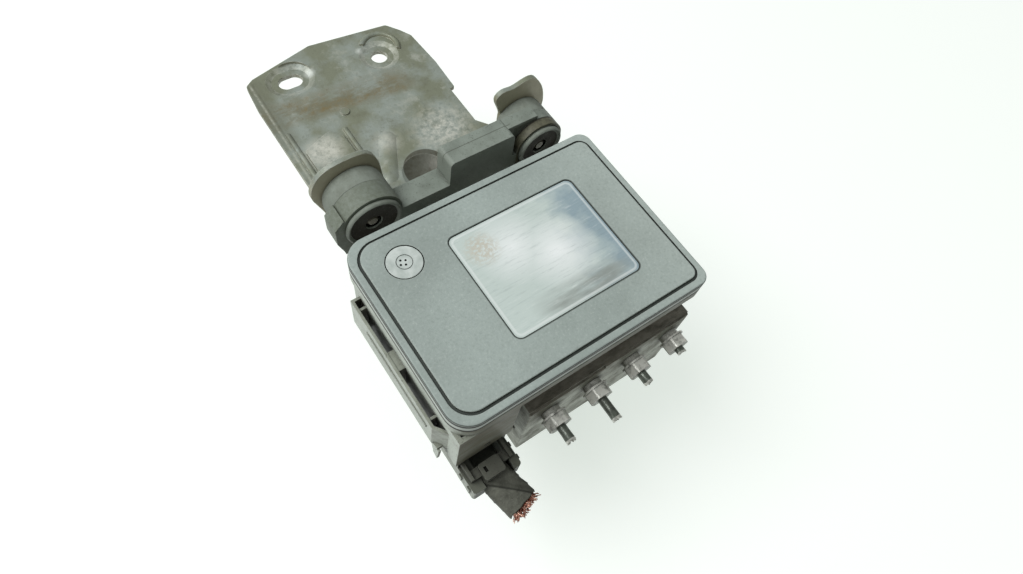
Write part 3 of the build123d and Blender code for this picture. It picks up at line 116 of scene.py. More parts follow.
class Finish:
    """One material, built up from named steps."""

    def __init__(self, name, metallic=0.0, specular=0.5):
        self.material = bpy.data.materials.new(name)
        self.material.use_nodes = True
        self.tree = self.material.node_tree
        self.shader = self.tree.nodes["Principled BSDF"]
        self.shader.inputs["Metallic"].default_value = metallic
        self.shader.inputs["Specular IOR Level"].default_value = specular
        self.place = self.add("TexCoord").outputs["Object"]
        self.surface = self.add("NewGeometry")
        self.soft_normal = None
        self.colour = None

    def add(self, kind, inputs=None, **settings):
        """One node, with its settings and what goes into its sockets."""
        made = self.tree.nodes.new("ShaderNode" + kind)
        for key, value in settings.items():
            setattr(made, key, value)
        for key, value in (inputs or {}).items():
            self.feed(value, made.inputs[key])
        return made

    def feed(self, value, socket):
        """Link a node's output to a socket, or set the socket to a value."""
        if isinstance(value, bpy.types.NodeSocket):
            self.tree.links.new(value, socket)
        else:
            socket.default_value = value

    def cloud(self, size, detail=3.0, stretch=(1, 1, 1), rough=0.55, shift=0.0):
        """Soft blotches about size mm across, from 0 to 1."""
        moved = self.add("Mapping", {"Vector": self.place, "Scale": stretch,
                                     "Location": (shift, shift, shift)})
        return self.add("TexNoise", {"Vector": moved.outputs[0], "Scale": 1 / (size * MM),
                                     "Detail": detail, "Roughness": rough}).outputs[0]

    def window(self, value, low, high, start=0.0, end=1.0):
        """Low to high of a value becomes start to end, and no further."""
        return self.add("MapRange", {"Value": value, "From Min": low, "From Max": high,
                                     "To Min": start, "To Max": end}).outputs[0]

    def sum_of(self, first, second, operation="ADD"):
        """Two values added, or joined by another operation."""
        made = self.add("Math", operation=operation)
        self.feed(first, made.inputs[0])
        self.feed(second, made.inputs[1])
        return made.outputs[0]

    def both(self, first, second):
        """A mask that is on only where both masks are."""
        return self.sum_of(first, second, "MULTIPLY")

    def either(self, first, second):
        """A mask that is on where one mask is, or the other."""
        return self.sum_of(first, second, "MAXIMUM")

    def lay(self, under, over, amount):
        """One colour laid over another, by a mask or a plain amount."""
        made = self.add("Mix", data_type="RGBA")
        self.feed(amount, made.inputs[0])
        self.feed(under, made.inputs[6])
        self.feed(over, made.inputs[7])
        return made.outputs[2]

    def coat(self, over, *masks):
        """A colour laid over all before it, where every mask is on."""
        amount = masks[0]
        for mask in masks[1:]:
            amount = self.both(amount, mask)
        self.colour = self.lay(self.colour, over, amount)

    def axis(self, letter, of="place"):
        """One coordinate of the place, in metres, or of the normal."""
        source = self.place if of == "place" else self.surface.outputs["Normal"]
        return self.add("SeparateXYZ", {0: source}).outputs["XYZ".index(letter)]

    def band(self, letter, low, high, blur):
        """On between two places along an axis, in mm, with soft ends."""
        place = self.axis(letter)
        rising = self.window(place, (low - blur) * MM, (low + blur) * MM)
        falling = self.window(place, (high + blur) * MM, (high - blur) * MM)
        return self.both(rising, falling)

    def outline(self, corner_a, corner_b, radius, half_width):
        """On along a rounded rectangle seen from above, in mm."""
        reach = []
        for letter, low, high in zip("XY", corner_a, corner_b):
            off = self.sum_of(self.axis(letter), (low + high) / 2 * MM, "SUBTRACT")
            off = self.sum_of(off, 0.0, "ABSOLUTE")
            reach.append(self.sum_of(off, ((high - low) / 2 - radius) * MM, "SUBTRACT"))
        outside = self.add("CombineXYZ", {0: self.either(reach[0], 0.0),
                                          1: self.either(reach[1], 0.0)})
        length = self.add("VectorMath", {0: outside.outputs[0]}, operation="LENGTH")
        inside = self.sum_of(self.either(*reach), 0.0, "MINIMUM")
        gap = self.sum_of(length.outputs["Value"], inside)
        gap = self.sum_of(gap, radius * MM, "SUBTRACT")
        gap = self.sum_of(gap, 0.0, "ABSOLUTE")
        blur = 0.15
        return self.window(gap, (half_width + blur) * MM, (half_width - blur) * MM)

    def beside(self, start, end):
        """Signed distance in metres from a line seen from above, given in mm."""
        along = Vector((end[0] - start[0], end[1] - start[1])).normalized()
        across = self.both(self.sum_of(self.axis("X"), start[0] * MM, "SUBTRACT"), -along.y)
        back = self.both(self.sum_of(self.axis("Y"), start[1] * MM, "SUBTRACT"), along.x)
        return self.sum_of(across, back)

    def stripe(self, start, end, half_width, blur=0.3):
        """On along a line seen from above, over its whole length, in mm."""
        gap = self.sum_of(self.beside(start, end), 0.0, "ABSOLUTE")
        return self.window(gap, (half_width + blur) * MM, (half_width - blur) * MM)

    def near(self, point, reach, blur):
        """A soft round mask about a point, in mm."""
        gap = self.add("VectorMath", {0: self.place, 1: mm(*point)}, operation="DISTANCE")
        return self.window(gap.outputs["Value"], (reach + blur) * MM, (reach - blur) * MM)

    def round_edges(self, radius):
        """A normal that turns softly over each edge."""
        self.soft_normal = self.add("Bevel", {"Radius": radius * MM}, samples=4).outputs[0]

    def edges(self, low=0.992, high=0.90):
        """Where the softened normal leaves the true one: the edges."""
        dot = self.add("VectorMath", {0: self.soft_normal, 1: self.surface.outputs["Normal"]},
                       operation="DOT_PRODUCT")
        return self.window(dot.outputs["Value"], low, high)

    def corners(self, reach, low=0.75, high=0.25):
        """Hollows and gaps within reach mm, found by occlusion, where painted shade goes."""
        hollow = self.add("AmbientOcclusion", {"Distance": reach * MM}, samples=4)
        return self.window(hollow.outputs["AO"], low, high)

    def relief(self, height, depth, under=None):
        """Raise the surface by a pattern, depth mm at the most."""
        made = self.add("Bump", {"Height": height, "Distance": depth * MM})
        base = under or self.soft_normal
        if base:
            self.feed(base, made.inputs["Normal"])
        return made.outputs[0]

    def done(self, roughness, normal=None):
        """Wire the colour, roughness and normal to the shader."""
        self.feed(self.colour, self.shader.inputs["Base Color"])
        self.feed(roughness, self.shader.inputs["Roughness"])
        if normal or self.soft_normal:
            self.feed(normal or self.soft_normal, self.shader.inputs["Normal"])
        return self.material


def dress(material, *names):
    """Put a material on every slot of the named nodes."""
    for name in names:
        for place in frame["nodes"][name].material_slots:
            place.material = material
    print(material.name, "on", ", ".join(names))


# %% [markdown]
# ## Light and floor
# The module stands on a plain white table under one large soft lamp, high on
# its far left. The room gives the rest: bright above and on the lamp's side,
# dim in front, so that front faces fall into shade as they do near a window.
# The table is made white for the camera alone, by a glow that lights nothing,
# so that it keeps the shadow and throws no glare up at the metal.

# %% Set the lamp, the room and the table
scene = bpy.context.scene
scene.view_settings.view_transform = "Standard"

toward_lamp = Vector((-0.40, 0.32, 0.86)).normalized()
dimmest, brightest = 0.10, 0.50

room = bpy.data.worlds.new("room")
room.use_nodes = True
scene.world = room
sky = room.node_tree
air = sky.nodes["Background"]
air.inputs["Color"].default_value = rgb(250, 252, 250)
seen = sky.nodes.new("ShaderNodeLightPath")
heading = sky.nodes.new("ShaderNodeTexCoord")
facing = sky.nodes.new("ShaderNodeVectorMath")
facing.operation = "DOT_PRODUCT"
facing.inputs[1].default_value = toward_lamp
sky.links.new(heading.outputs["Generated"], facing.inputs[0])
glow = sky.nodes.new("ShaderNodeMapRange")
glow_range = {"From Min": -0.45, "From Max": 0.9, "To Min": dimmest, "To Max": brightest}
for key, value in glow_range.items():
    glow.inputs[key].default_value = value
sky.links.new(facing.outputs["Value"], glow.inputs["Value"])
shown = sky.nodes.new("ShaderNodeMath")
shown.operation = "MAXIMUM"
sky.links.new(glow.outputs[0], shown.inputs[0])
sky.links.new(seen.outputs["Is Camera Ray"], shown.inputs[1])
sky.links.new(shown.outputs[0], air.inputs["Strength"])

softbox = bpy.data.lights.new("softbox", "AREA")
softbox.shape = "DISK"
softbox.size = 1.3
softbox.energy = 28.0
lamp = bpy.data.objects.new("softbox", softbox)
lamp.location = (-1.0, 0.55, 1.75)
lamp.rotation_euler = (mm(0, 0, 100) - lamp.location).to_track_quat("-Z", "Y").to_euler()
scene.collection.objects.link(lamp)

table_size = 3.0
table_mesh = bpy.data.meshes.new("table")
table_shape = bmesh.new()
bmesh.ops.create_grid(table_shape, x_segments=24, y_segments=24, size=table_size)
table_shape.to_mesh(table_mesh)
table_shape.free()
table = bpy.data.objects.new("table", table_mesh)
scene.collection.objects.link(table)

top = Finish("white_table", specular=0.2)
grain = top.cloud(900, detail=2.0)
top.colour = top.lay(rgb(188, 185, 188), rgb(195, 192, 195), grain)
top.done(0.9)
path = top.add("LightPath")
mirrored = top.either(path.outputs["Is Glossy Ray"], path.outputs["Is Transmission Ray"])
seen_table = top.either(path.outputs["Is Camera Ray"], mirrored)
top.feed(rgb(198, 207, 199), top.shader.inputs["Emission Color"])
top.feed(seen_table, top.shader.inputs["Emission Strength"])
table_mesh.materials.append(top.material)
print("lamp", softbox.energy, "W, table", 2 * table_size, "m wide")

# %% [markdown]
# ## The cover's plastic
# The cover is glass-filled moulding: mid grey, faintly green, with a fine
# spark-eroded grain. Dust has greyed it and its edges are rubbed. The groove
# about the raised panel is painted dark as painted shade, and so are its
# hollows. Grain is the smallest noise and goes into the bump; dust is larger
# noise and only shifts the colour. Painted light makes the side faces paler
# and the cover lighter towards +X. The dark lines round the side are bands by
# height: a painted shade under the top edge, and the dark joint where lid and
# housing meet, with painted shade in it.

# %% Finish the cover
lid_joint = 146.8
panel_corners = (-43.1, -23.3), (23.0, 31.5)
panel_radius = 3.5
cover = Finish("cover_plastic", specular=0.35)
cover.round_edges(0.5)
fine = cover.cloud(0.45, detail=2.0)
speck = cover.cloud(1.1, detail=4.0, rough=0.7)
haze = cover.cloud(38, detail=5.0)
cover.colour = cover.lay(rgb(148, 159, 154), rgb(162, 174, 169), cover.window(haze, 0.35, 0.65))
# Painted light: the cover is painted lighter towards +X, where the lamp's light falls off.
cover.coat(rgb(184, 195, 189), cover.window(cover.axis("X"), 0.0, 46 * MM, 0, 0.45))
cover.coat(rgb(118, 129, 122), cover.window(speck, 0.52, 0.72, 0, 0.38))
cover.coat(rgb(202, 211, 204), cover.window(speck, 0.44, 0.26, 0, 0.38))
cover.coat(rgb(192, 202, 194), cover.edges(), cover.window(haze, 0.3, 0.6, 0.3, 0.8))
# Painted light: faces that stand upright are painted paler, to make up for the dim light on the
# cover's sides.
upright = cover.window(cover.axis("Z", "normal"), 0.6, 0.3)
cover.coat(rgb(196, 205, 197), upright)
# The upper band is painted shade under the lid's top edge; the lower is the dark joint where lid
# meets housing, with painted shade in it.
lid_shade_and_joint = cover.either(
    cover.band("Z", 150.3, 152.3, 0.2),
    cover.band("Z", lid_joint - 1, lid_joint + 0.7, 0.2),
)
cover.coat(rgb(44, 51, 46), upright, lid_shade_and_joint)
# Painted shade: the groove about the raised panel, found by its height and its outline, is painted
# dark.
groove_shade = cover.either(
    cover.band("Z", 152.6, 153.25, 0.05),
    cover.outline(*panel_corners, panel_radius, 0.42),
)
cover.coat(rgb(46, 53, 48), groove_shade, 0.85)
# Painted shade: hollows within 2.2 mm are darkened.
cover.coat(rgb(40, 46, 41), cover.corners(2.2, 0.80, 0.45))
cover_rough = cover.window(haze, 0.3, 0.7, 0.50, 0.66)
dress(cover.done(cover_rough, cover.relief(fine, 0.06, cover.relief(speck, 0.05))), "ecu_cover")

vent = Finish("vent_plastic", specular=0.35)
vent.round_edges(0.3)
vent_haze = vent.window(vent.cloud(5, detail=4.0), 0.35, 0.65)
vent.colour = vent.lay(rgb(176, 186, 181), rgb(206, 214, 210), vent_haze)
# Painted shade: the vent's holes and hollows are darkened.
vent.coat(rgb(34, 38, 34), vent.corners(1.2, 0.7, 0.3))
dress(vent.done(0.5, vent.relief(vent.cloud(0.4, detail=2.0), 0.04)), "vent_cap")

# %% [markdown]
# ## The label
# A silvery foil, rubbed nearly blank and brushed all over by fine scratches
# that run along it. Its reflections are painted into the colour: a painted
# reflection makes it whitest in the middle, and bluer and darker towards the
# right. The upper left corner has worn to a pale brown. The foil is painted a
# light colour, barely metallic, so that it looks bright from every side, with
# the scratches in colour, roughness and bump alike.

# %% Finish the label foil
label_corners = (-41.6, -21.8), (21.5, 30.0)
label_radius = 2.5
label_top = 154
foil = Finish("label_foil", metallic=0.1, specular=0.4)
scratch = foil.cloud(1.6, detail=5.0, stretch=(0.16, 1.6, 1), rough=0.75)
streak = foil.cloud(9, detail=5.0, stretch=(0.35, 1.8, 1), rough=0.6)
blot = foil.cloud(15, detail=4.0)
drift = foil.both(foil.sum_of(blot, 0.5, "SUBTRACT"), 60 * MM)
toward_right = foil.window(foil.sum_of(foil.axis("X"), drift), -4 * MM, 20 * MM)
# Painted reflection: the foil is bluer and darker towards the right, and near white in the middle.
foil.colour = foil.lay(rgb(200, 213, 208), rgb(150, 170, 178), toward_right)
middle = foil.either(
    foil.near((-20, 14, label_top), 7, 12), foil.near((-4, 3, label_top), 9, 11))
foil.coat(rgb(250, 254, 254), middle, foil.window(streak, 0.26, 0.52, 0.75, 1))
lower = foil.both(foil.band("Y", -23, -13, 3), foil.band("X", -24, 17, 7))
foil.coat(rgb(146, 153, 148), lower, foil.window(streak, 0.36, 0.60, 0.2, 0.9))
foil.coat(rgb(118, 130, 132), foil.window(scratch, 0.54, 0.72, 0, 0.30))
foil.coat(rgb(252, 255, 254), foil.window(scratch, 0.44, 0.28, 0, 0.28))
foil.coat(rgb(236, 242, 240), foil.outline(*label_corners, label_radius, 0.5), 0.45)
flakes = foil.window(foil.cloud(1.3, detail=3.0), 0.40, 0.54)
foil.coat(rgb(198, 192, 176), foil.near((-32, 20, label_top), 6.5, 3), flakes, 0.75)
foil_rough = foil.window(scratch, 0.3, 0.7, 0.34, 0.56)
dress(foil.done(foil_rough, foil.relief(scratch, 0.03)), "label_plate")

# %% [markdown]
# ## Housing, cradle and plug
# These are the same moulding as the cover, but lower down and dirtier: road
# dust on what faces up, brown grime and painted shade near the valve block,
# and paler rubbed edges. Their hollows are darkened as painted shade, and faces
# turned to the left are painted lighter, as painted light from the lamp's side.
# One function makes them all from a few colours. Marks that only one moulding
# has are a small function of its own, which is called near the end.

# %% Define the darker mouldings


def moulding(name, dark, light, dust, grime, dust_amount, edge, edge_amount,
             painted_left_light=None, own_marks=None):
    """Moulded plastic: dust on top, grime, rubbed edges, painted shade in hollows, optional
    painted left light.
    """
    made = Finish(name, specular=0.35)
    made.round_edges(0.45)
    patch = made.cloud(14, detail=5.0, rough=0.6)
    small = made.cloud(1.6, detail=4.0, rough=0.7)
    pits = made.cloud(0.8, detail=2.0, rough=0.5)
    made.colour = made.lay(dark, light, made.window(patch, 0.35, 0.65))
    upward = made.window(made.axis("Z", "normal"), 0.25, 0.9)
    made.coat(dust, upward, made.window(patch, 0.3, 0.6, 0.4, 1.0), dust_amount)
    # Painted light: faces turned to the left, towards the lamp, are painted lighter.
    if painted_left_light:
        leftward = made.window(made.axis("X", "normal"), -0.25, -0.85)
        made.coat(painted_left_light, leftward, made.window(patch, 0.3, 0.55, 0.6, 1.0))
    made.coat(edge, made.edges(), made.window(small, 0.35, 0.6, 0, edge_amount))
    # Painted shade: hollows within 6 mm are darkened with the grime colour.
    made.coat(grime, made.corners(6, 0.75, 0.2))
    made.coat(grime, made.window(small, 0.58, 0.72, 0, 0.5))
    made.coat(grime, made.window(pits, 0.62, 0.76, 0, 0.6))
    if own_marks:
        own_marks(made)
    fine_grain = made.cloud(0.5, detail=2.0)
    return made.done(made.window(patch, 0.3, 0.7, 0.42, 0.68), made.relief(fine_grain, 0.06))


def housing_marks(made):
    """Connector dust; dirt and painted shade under the lid; painted shade at the joint and in deep
    corners.
    """
    forward = made.window(made.axis("Y", "normal"), -0.3, -0.8)
    leftward = made.window(made.axis("X", "normal"), -0.2, -0.6)
    over_plug = made.window(made.axis("X"), -48 * MM, -52 * MM)
    beside_plug = made.window(made.axis("X"), -52 * MM, -48 * MM)
    streaks = made.cloud(7, detail=5.0, stretch=(0.35, 1, 1.6), rough=0.7)
    run = made.window(streaks, 0.38, 0.62)
    made.coat(rgb(100, 97, 80), forward, over_plug, made.window(run, 0.2, 0.8, 0.2, 0.75))
    # Dirt and painted shade: the front under the lid and the header's top are darkened, broken by
    # dust streaks.
    under_lid = made.both(made.band("Z", 108, 139.5, 1.0), beside_plug)
    header_top = made.both(made.band("Z", 134, 140, 1.0), 0.8)
    dirt_and_shade = made.lay(rgb(58, 57, 46), rgb(116, 112, 98), run)
    made.coat(dirt_and_shade, forward, made.either(under_lid, header_top), 0.9)
    # Painted shade along the dark joint under the lid.
    made.coat(rgb(38, 40, 33), made.band("Z", lid_joint - 1, lid_joint + 1, 0.2), 0.9)
    # Painted shade: deep hollows on faces turned left are darkened.
    made.coat(rgb(40, 42, 34), made.corners(16, 0.55, 0.2), leftward, 0.75)


def cradle_marks(made):
    """The left ring's mottling, the parting line and the right ring's sleeve."""
    speckle = made.window(made.cloud(2, detail=4.0, rough=0.7), 0.35, 0.65)
    left_ring = made.window(made.axis("X"), -41 * MM, -45 * MM)
    made.coat(rgb(104, 111, 97), left_ring, made.window(speckle, 0, 1, 0.35, 0.9))
    bridge_top = made.both(made.band("Z", 140, 150, 0.5), made.band("X", -17.5, 22, 0.5))
    made.coat(rgb(66, 68, 58), made.band("Y", 75.8, 76.2, 0.1), bridge_top, 0.7)
    right_ring = made.both(
        made.window(made.axis("X"), 23 * MM, 24 * MM), made.band("Z", 110, 144.5, 0.5))
    front_half = made.window(made.axis("Y"), 73.7 * MM, 73.3 * MM)
    sleeve = made.lay(rgb(72, 71, 56), rgb(100, 99, 80), speckle)
    made.coat(sleeve, right_ring, front_half, 0.95)
    made.coat(rgb(42, 41, 32), right_ring, made.band("Y", 73.0, 73.8, 0.15), 0.9)


# %% [markdown]
# ## One recipe for each moulding
# The housing is the palest, and its faces turned left get the most painted
# light. The cradle is a plain mid grey with a thin coat of dust, and a little
# painted light on its left faces. The plug and its slide lock were moulded
# darker and have stayed so; their edges have rubbed pale, and the plug's faces
# turned left are painted lighter, as painted light.

# %% Finish the darker mouldings
housing_plastic = moulding(
    "housing_plastic", dark=rgb(108, 110, 97), light=rgb(136, 140, 128),
    dust=rgb(160, 166, 154), grime=rgb(52, 53, 43), dust_amount=0.6,
    edge=rgb(200, 207, 197), edge_amount=0.75, painted_left_light=rgb(196, 205, 194),
    own_marks=housing_marks)
dress(housing_plastic, "ecu_housing")

cradle_plastic = moulding(
    "cradle_plastic", dark=rgb(110, 118, 109), light=rgb(132, 142, 133),
    dust=rgb(142, 151, 142), grime=rgb(66, 68, 58), dust_amount=0.5,
    edge=rgb(168, 176, 166), edge_amount=0.6, painted_left_light=rgb(134, 142, 132),
    own_marks=cradle_marks)
dress(cradle_plastic, "cradle")

plug_plastic = moulding(
    "plug_plastic", dark=rgb(68, 71, 62), light=rgb(94, 98, 87),
    dust=rgb(104, 107, 94), grime=rgb(38, 38, 31), dust_amount=0.45,
    edge=rgb(150, 154, 142), edge_amount=0.7, painted_left_light=rgb(170, 177, 166))
dress(plug_plastic, "plug_body", "plug_cover")

lock_plastic = moulding(
    "lock_plastic", dark=rgb(66, 67, 59), light=rgb(84, 86, 77),
    dust=rgb(96, 98, 88), grime=rgb(42, 42, 35), dust_amount=0.5,
    edge=rgb(146, 149, 138), edge_amount=0.6)
dress(lock_plastic, "slide_lock")

# %% [markdown]
# ## Rubber
# The two mounts are rubber bushes, caked with pale dust round the side and
# dark brown where they face forward. Rubber has almost no shine, so roughness
# stays high and the colour does the work.

# %% Finish the rubber


def rubber(name, dark, dusty, amount, front=None):
    """Perished rubber: dusty round its side, darker on a face turned forward."""
    made = Finish(name, specular=0.25)
    made.round_edges(0.4)
    patch = made.cloud(6, detail=5.0, rough=0.65)
    specks = made.cloud(0.9, detail=3.0)
    made.colour = made.lay(dark, dusty, made.window(patch, 0.3, 0.7, 0, amount))
    if front:
        made.coat(front, made.window(made.axis("Y", "normal"), -0.86, -0.96))
    made.coat(dark, made.window(specks, 0.60, 0.74, 0, 0.7))
    return made.done(made.window(patch, 0.3, 0.7, 0.62, 0.85), made.relief(specks, 0.08))


mount_rubber = rubber(
    "mount_rubber", rgb(116, 122, 112), rgb(140, 148, 139), 1.0, front=rgb(44, 42, 33))
dress(mount_rubber, "grommet_left", "grommet_right")
dress(rubber("seal_rubber", rgb(34, 36, 32), rgb(80, 82, 74), 0.4), "ecu_seal")

# %% [markdown]
# ## Metals
# Bare and plated metals differ mainly in three things: colour, how far the
# tool marks run, and how much dirt has stuck. The maker below takes those
# three, and a table of recipes gives each metal its own. A drawn part has marks
# along it, a turned one has marks round it: that is the stretch of its noise.
# Hollows are darkened with the stain colour as painted shade, and the nuts
# alone get a painted highlight on faces turned up and painted shade on faces
# turned down.

# %% Finish the metals


def metal(name, tone, stain_and_shade, stain_amount, rough=(0.25, 0.5), marks=(1, 1, 1), metallic=0.85,
          patches=7, top_highlight=None):
    """Worn metal: tool marks, stain, bright edges, painted shade in hollows; optional painted top
    highlight.
    """
    made = Finish(name, metallic=metallic)
    made.round_edges(0.3)
    patch = made.cloud(patches, detail=5.0, rough=0.65)
    mark = made.cloud(2.5, detail=4.0, stretch=marks)
    made.colour = made.lay(tone, stain_and_shade, made.window(patch, 0.38, 0.66, 0, stain_amount))
    # Painted highlight on faces turned up, and painted shade in the stain colour on faces turned
    # down.
    if top_highlight:
        upward = made.window(made.axis("Z", "normal"), 0.2, 0.6)
        made.coat(top_highlight, upward, made.window(patch, 0.68, 0.48, 0.35, 1.0))
        downward = made.window(made.axis("Z", "normal"), 0.05, -0.4)
        made.coat(stain_and_shade, downward, 0.6)
    made.coat(rgb(232, 234, 226), made.edges(), made.window(patch, 0.3, 0.6, 0.6, 0.1))
    # Painted shade: hollows within 3 mm are darkened with the stain colour.
    made.coat(stain_and_shade, made.corners(3, 0.7, 0.25))
    return made.done(made.window(mark, 0.3, 0.7, *rough), made.relief(mark, 0.03))


recipes = {
    "turned_steel": dict(tone=rgb(190, 192, 188), stain_and_shade=rgb(120, 116, 104), stain_amount=0.3,
                         marks=(1, 1, 12)),
    "zinc_steel": dict(tone=rgb(176, 178, 170), stain_and_shade=rgb(112, 108, 92), stain_amount=0.5),
    "spring_steel": dict(tone=rgb(150, 150, 148), stain_and_shade=rgb(90, 88, 82), stain_amount=0.4),
    "stud_steel": dict(tone=rgb(96, 92, 78), stain_and_shade=rgb(56, 52, 42), stain_amount=0.9,
                       metallic=0.3),
    "nut_steel": dict(tone=rgb(142, 144, 130), stain_and_shade=rgb(50, 50, 40), stain_amount=0.95,
                      metallic=0.2, patches=4, top_highlight=rgb(244, 245, 236)),
    "coil_steel": dict(tone=rgb(186, 176, 132), stain_and_shade=rgb(120, 104, 70), stain_amount=0.5),
    "piston_aluminium": dict(tone=rgb(196, 197, 194), stain_and_shade=rgb(140, 138, 130),
                             stain_amount=0.3, marks=(1, 12, 1)),
    "tinned_brass": dict(tone=rgb(200, 194, 170), stain_and_shade=rgb(140, 120, 84), stain_amount=0.4),
    "copper": dict(tone=rgb(222, 150, 112), stain_and_shade=rgb(140, 82, 58), stain_amount=0.6,
                   rough=(0.25, 0.45), metallic=0.6),
    "ferrite": dict(tone=rgb(70, 70, 74), stain_and_shade=rgb(50, 48, 46), stain_amount=0.5,
                    rough=(0.6, 0.8), metallic=0.2),
    "carbon": dict(tone=rgb(60, 60, 60), stain_and_shade=rgb(40, 40, 40), stain_amount=0.5,
                   rough=(0.5, 0.7), metallic=0.2),
    "can_steel": dict(tone=rgb(152, 154, 147), stain_and_shade=rgb(122, 119, 106), stain_amount=0.5,
                      rough=(0.35, 0.6), marks=(1, 1, 0.2), patches=14),
    "chip_plastic": dict(tone=rgb(52, 52, 54), stain_and_shade=rgb(36, 36, 38), stain_amount=0.5,
                         rough=(0.4, 0.6), metallic=0.0),
    "board": dict(tone=rgb(40, 112, 66), stain_and_shade=rgb(28, 84, 50), stain_amount=0.5,
                  rough=(0.3, 0.45), metallic=0.0),
}
for slot_name, recipe in recipes.items():
    finish = metal(slot_name, **recipe)
    dress(finish, *(entry["node"] for entry in frame["record"]["subparts"]
                    if entry["material_slot"] == slot_name))

# %% [markdown]
# ## The valve block
# The block is extruded alloy, sawn and milled: pale grey, dull with oxide, and
# stained brown round the pipe nuts where brake fluid and road dirt have met.
# The milling is a fine line pattern along X in the bump. The sides and the
# back are cleaner than the front, so the stains are weaker there. High on the
# front, under the housing, the face is darkened as painted shade, and its
# hollows are darkened as painted shade too.

# %% Finish the block
alloy = Finish("block_aluminium", metallic=0.3)
alloy.round_edges(0.5)
pitting = alloy.cloud(2.2, detail=5.0, rough=0.7)
stains = alloy.cloud(15, detail=5.0, rough=0.65)
milled = alloy.cloud(3, detail=3.0, stretch=(0.15, 1, 4))
alloy.colour = alloy.lay(rgb(146, 151, 138), rgb(192, 197, 184), alloy.window(milled, 0.35, 0.65))
in_front = alloy.window(alloy.axis("Y", "normal"), -0.3, -0.8, 0.45, 1.0)
alloy.coat(rgb(84, 83, 69), in_front, alloy.window(stains, 0.40, 0.64, 0.05, 0.85))
# Painted shade: high on the front, under the housing, the face is darkened, broken up by the
# stains.
high_up = alloy.window(alloy.axis("Z"), 98 * MM, 118 * MM)
alloy.coat(rgb(88, 86, 70), high_up, in_front, alloy.window(stains, 0.34, 0.60, 0.25, 0.9))
alloy.coat(rgb(58, 55, 45), in_front, alloy.window(pitting, 0.56, 0.70, 0, 0.8))
alloy.coat(rgb(206, 209, 198), alloy.edges(), alloy.window(pitting, 0.35, 0.6, 0.6, 0.1))
# Painted shade: hollows within 8 mm are darkened.
alloy.coat(rgb(62, 58, 46), alloy.corners(8, 0.7, 0.2))
upward = alloy.window(alloy.axis("Z", "normal"), 0.5, 0.9)
dusty = alloy.window(alloy.cloud(4, detail=5.0, stretch=(0.4, 1, 1), rough=0.7), 0.34, 0.62)
alloy.coat(alloy.lay(rgb(80, 77, 66), rgb(146, 142, 130), dusty), upward, 0.9)
relief = alloy.relief(milled, 0.04, alloy.relief(pitting, 0.14))
dress(alloy.done(alloy.window(stains, 0.3, 0.7, 0.38, 0.68), relief), "hydraulic_block")

# %% [markdown]
# ## The bracket's coating
# Pressed sheet steel whose thin coating has gone patchy: olive where the zinc
# has dulled, blue grey where it is still sound, nearly white where dust has
# caked. Each of those is one mask and one colour, laid from the largest to the
# smallest, so the later, finer ones break up the earlier.

# %% Lay the bracket's coating
plate = Finish("bracket_paint", metallic=0.15)
plate.round_edges(0.6)
broad = plate.cloud(24, detail=5.0, rough=0.6)
middle_size = plate.cloud(9, detail=5.0, rough=0.65, shift=1.7)
small = plate.cloud(3.0, detail=5.0, rough=0.7)
plate.colour = plate.lay(rgb(126, 131, 112), rgb(148, 157, 149), plate.window(broad, 0.42, 0.60))
plate.coat(rgb(108, 110, 91), plate.window(middle_size, 0.52, 0.72, 0, 0.65))
plate.coat(rgb(172, 176, 165), plate.window(middle_size, 0.44, 0.28, 0, 0.7))
plate.coat(rgb(92, 93, 76), plate.window(small, 0.56, 0.74, 0, 0.5))
caked = plate.either(plate.near((-54, 128, 115), 9, 4), plate.near((-23, 119, 114), 4, 6))
caked_thinly = plate.both(plate.near((8, 113, 114), 12, 9), plate.window(small, 0.62, 0.40))
caked = plate.either(caked, caked_thinly)
plate.coat(rgb(208, 209, 198), caked, plate.window(small, 0.70, 0.40, 0.15, 0.9))
print("coating:", len(plate.tree.nodes), "shader nodes")

# %% [markdown]
# ## The bracket's rust, dust, painted light and painted shade
# A band of ochre rust has run across the plate between the bolt holes and the
# folds. What stands upright is browner with dust than what lies flat, and is
# painted lighter as painted light; the ears are painted lighter most of all.
# The pressed bowl in the plate is painted dark as painted shade.

# %% Lay the rust, the dust and the painted light and shade
run = plate.cloud(15, detail=5.0, stretch=(0.6, 1.5, 1), rough=0.7, shift=3.1)
slope = plate.sum_of(plate.axis("Y"), plate.both(plate.axis("X"), 0.10))
rust_band = plate.both(plate.window(slope, 0.144, 0.151), plate.window(slope, 0.166, 0.156))
rust_band = plate.both(rust_band, plate.window(plate.axis("X"), 14 * MM, 2 * MM))
rust_spots = plate.both(rust_band, plate.window(run, 0.40, 0.56))
plate.coat(rgb(114, 110, 87), rust_band, plate.window(run, 0.30, 0.50, 0, 0.7))
plate.coat(rgb(124, 110, 72), rust_spots, plate.window(small, 0.40, 0.62, 0.0, 0.8))
# Upright faces are browner with dust, and painted lighter as painted light for the dim light they
# get.
upright = plate.window(plate.axis("Z", "normal"), 0.75, 0.25)
plate.coat(rgb(150, 148, 124), upright, plate.window(small, 0.3, 0.6, 0.95, 0.6))
# Painted light: the ears' front faces are painted lighter still.
forward = plate.window(plate.axis("Y", "normal"), -0.5, -0.8)
ears = plate.both(forward, plate.window(plate.axis("Z"), 117 * MM, 120 * MM))
plate.coat(rgb(176, 172, 148), ears, plate.window(middle_size, 0.3, 0.6, 0.95, 0.6))
# Painted shade: the pressed bowl is painted dark.
shaded_bowl = plate.outline((-14.4, 94.1), (-12.4, 96.1), 1.0, 10.8)
plate.coat(rgb(70, 68, 55), shaded_bowl, plate.window(small, 0.3, 0.6, 0.95, 0.8))
print("with rust and dirt:", len(plate.tree.nodes), "shader nodes")

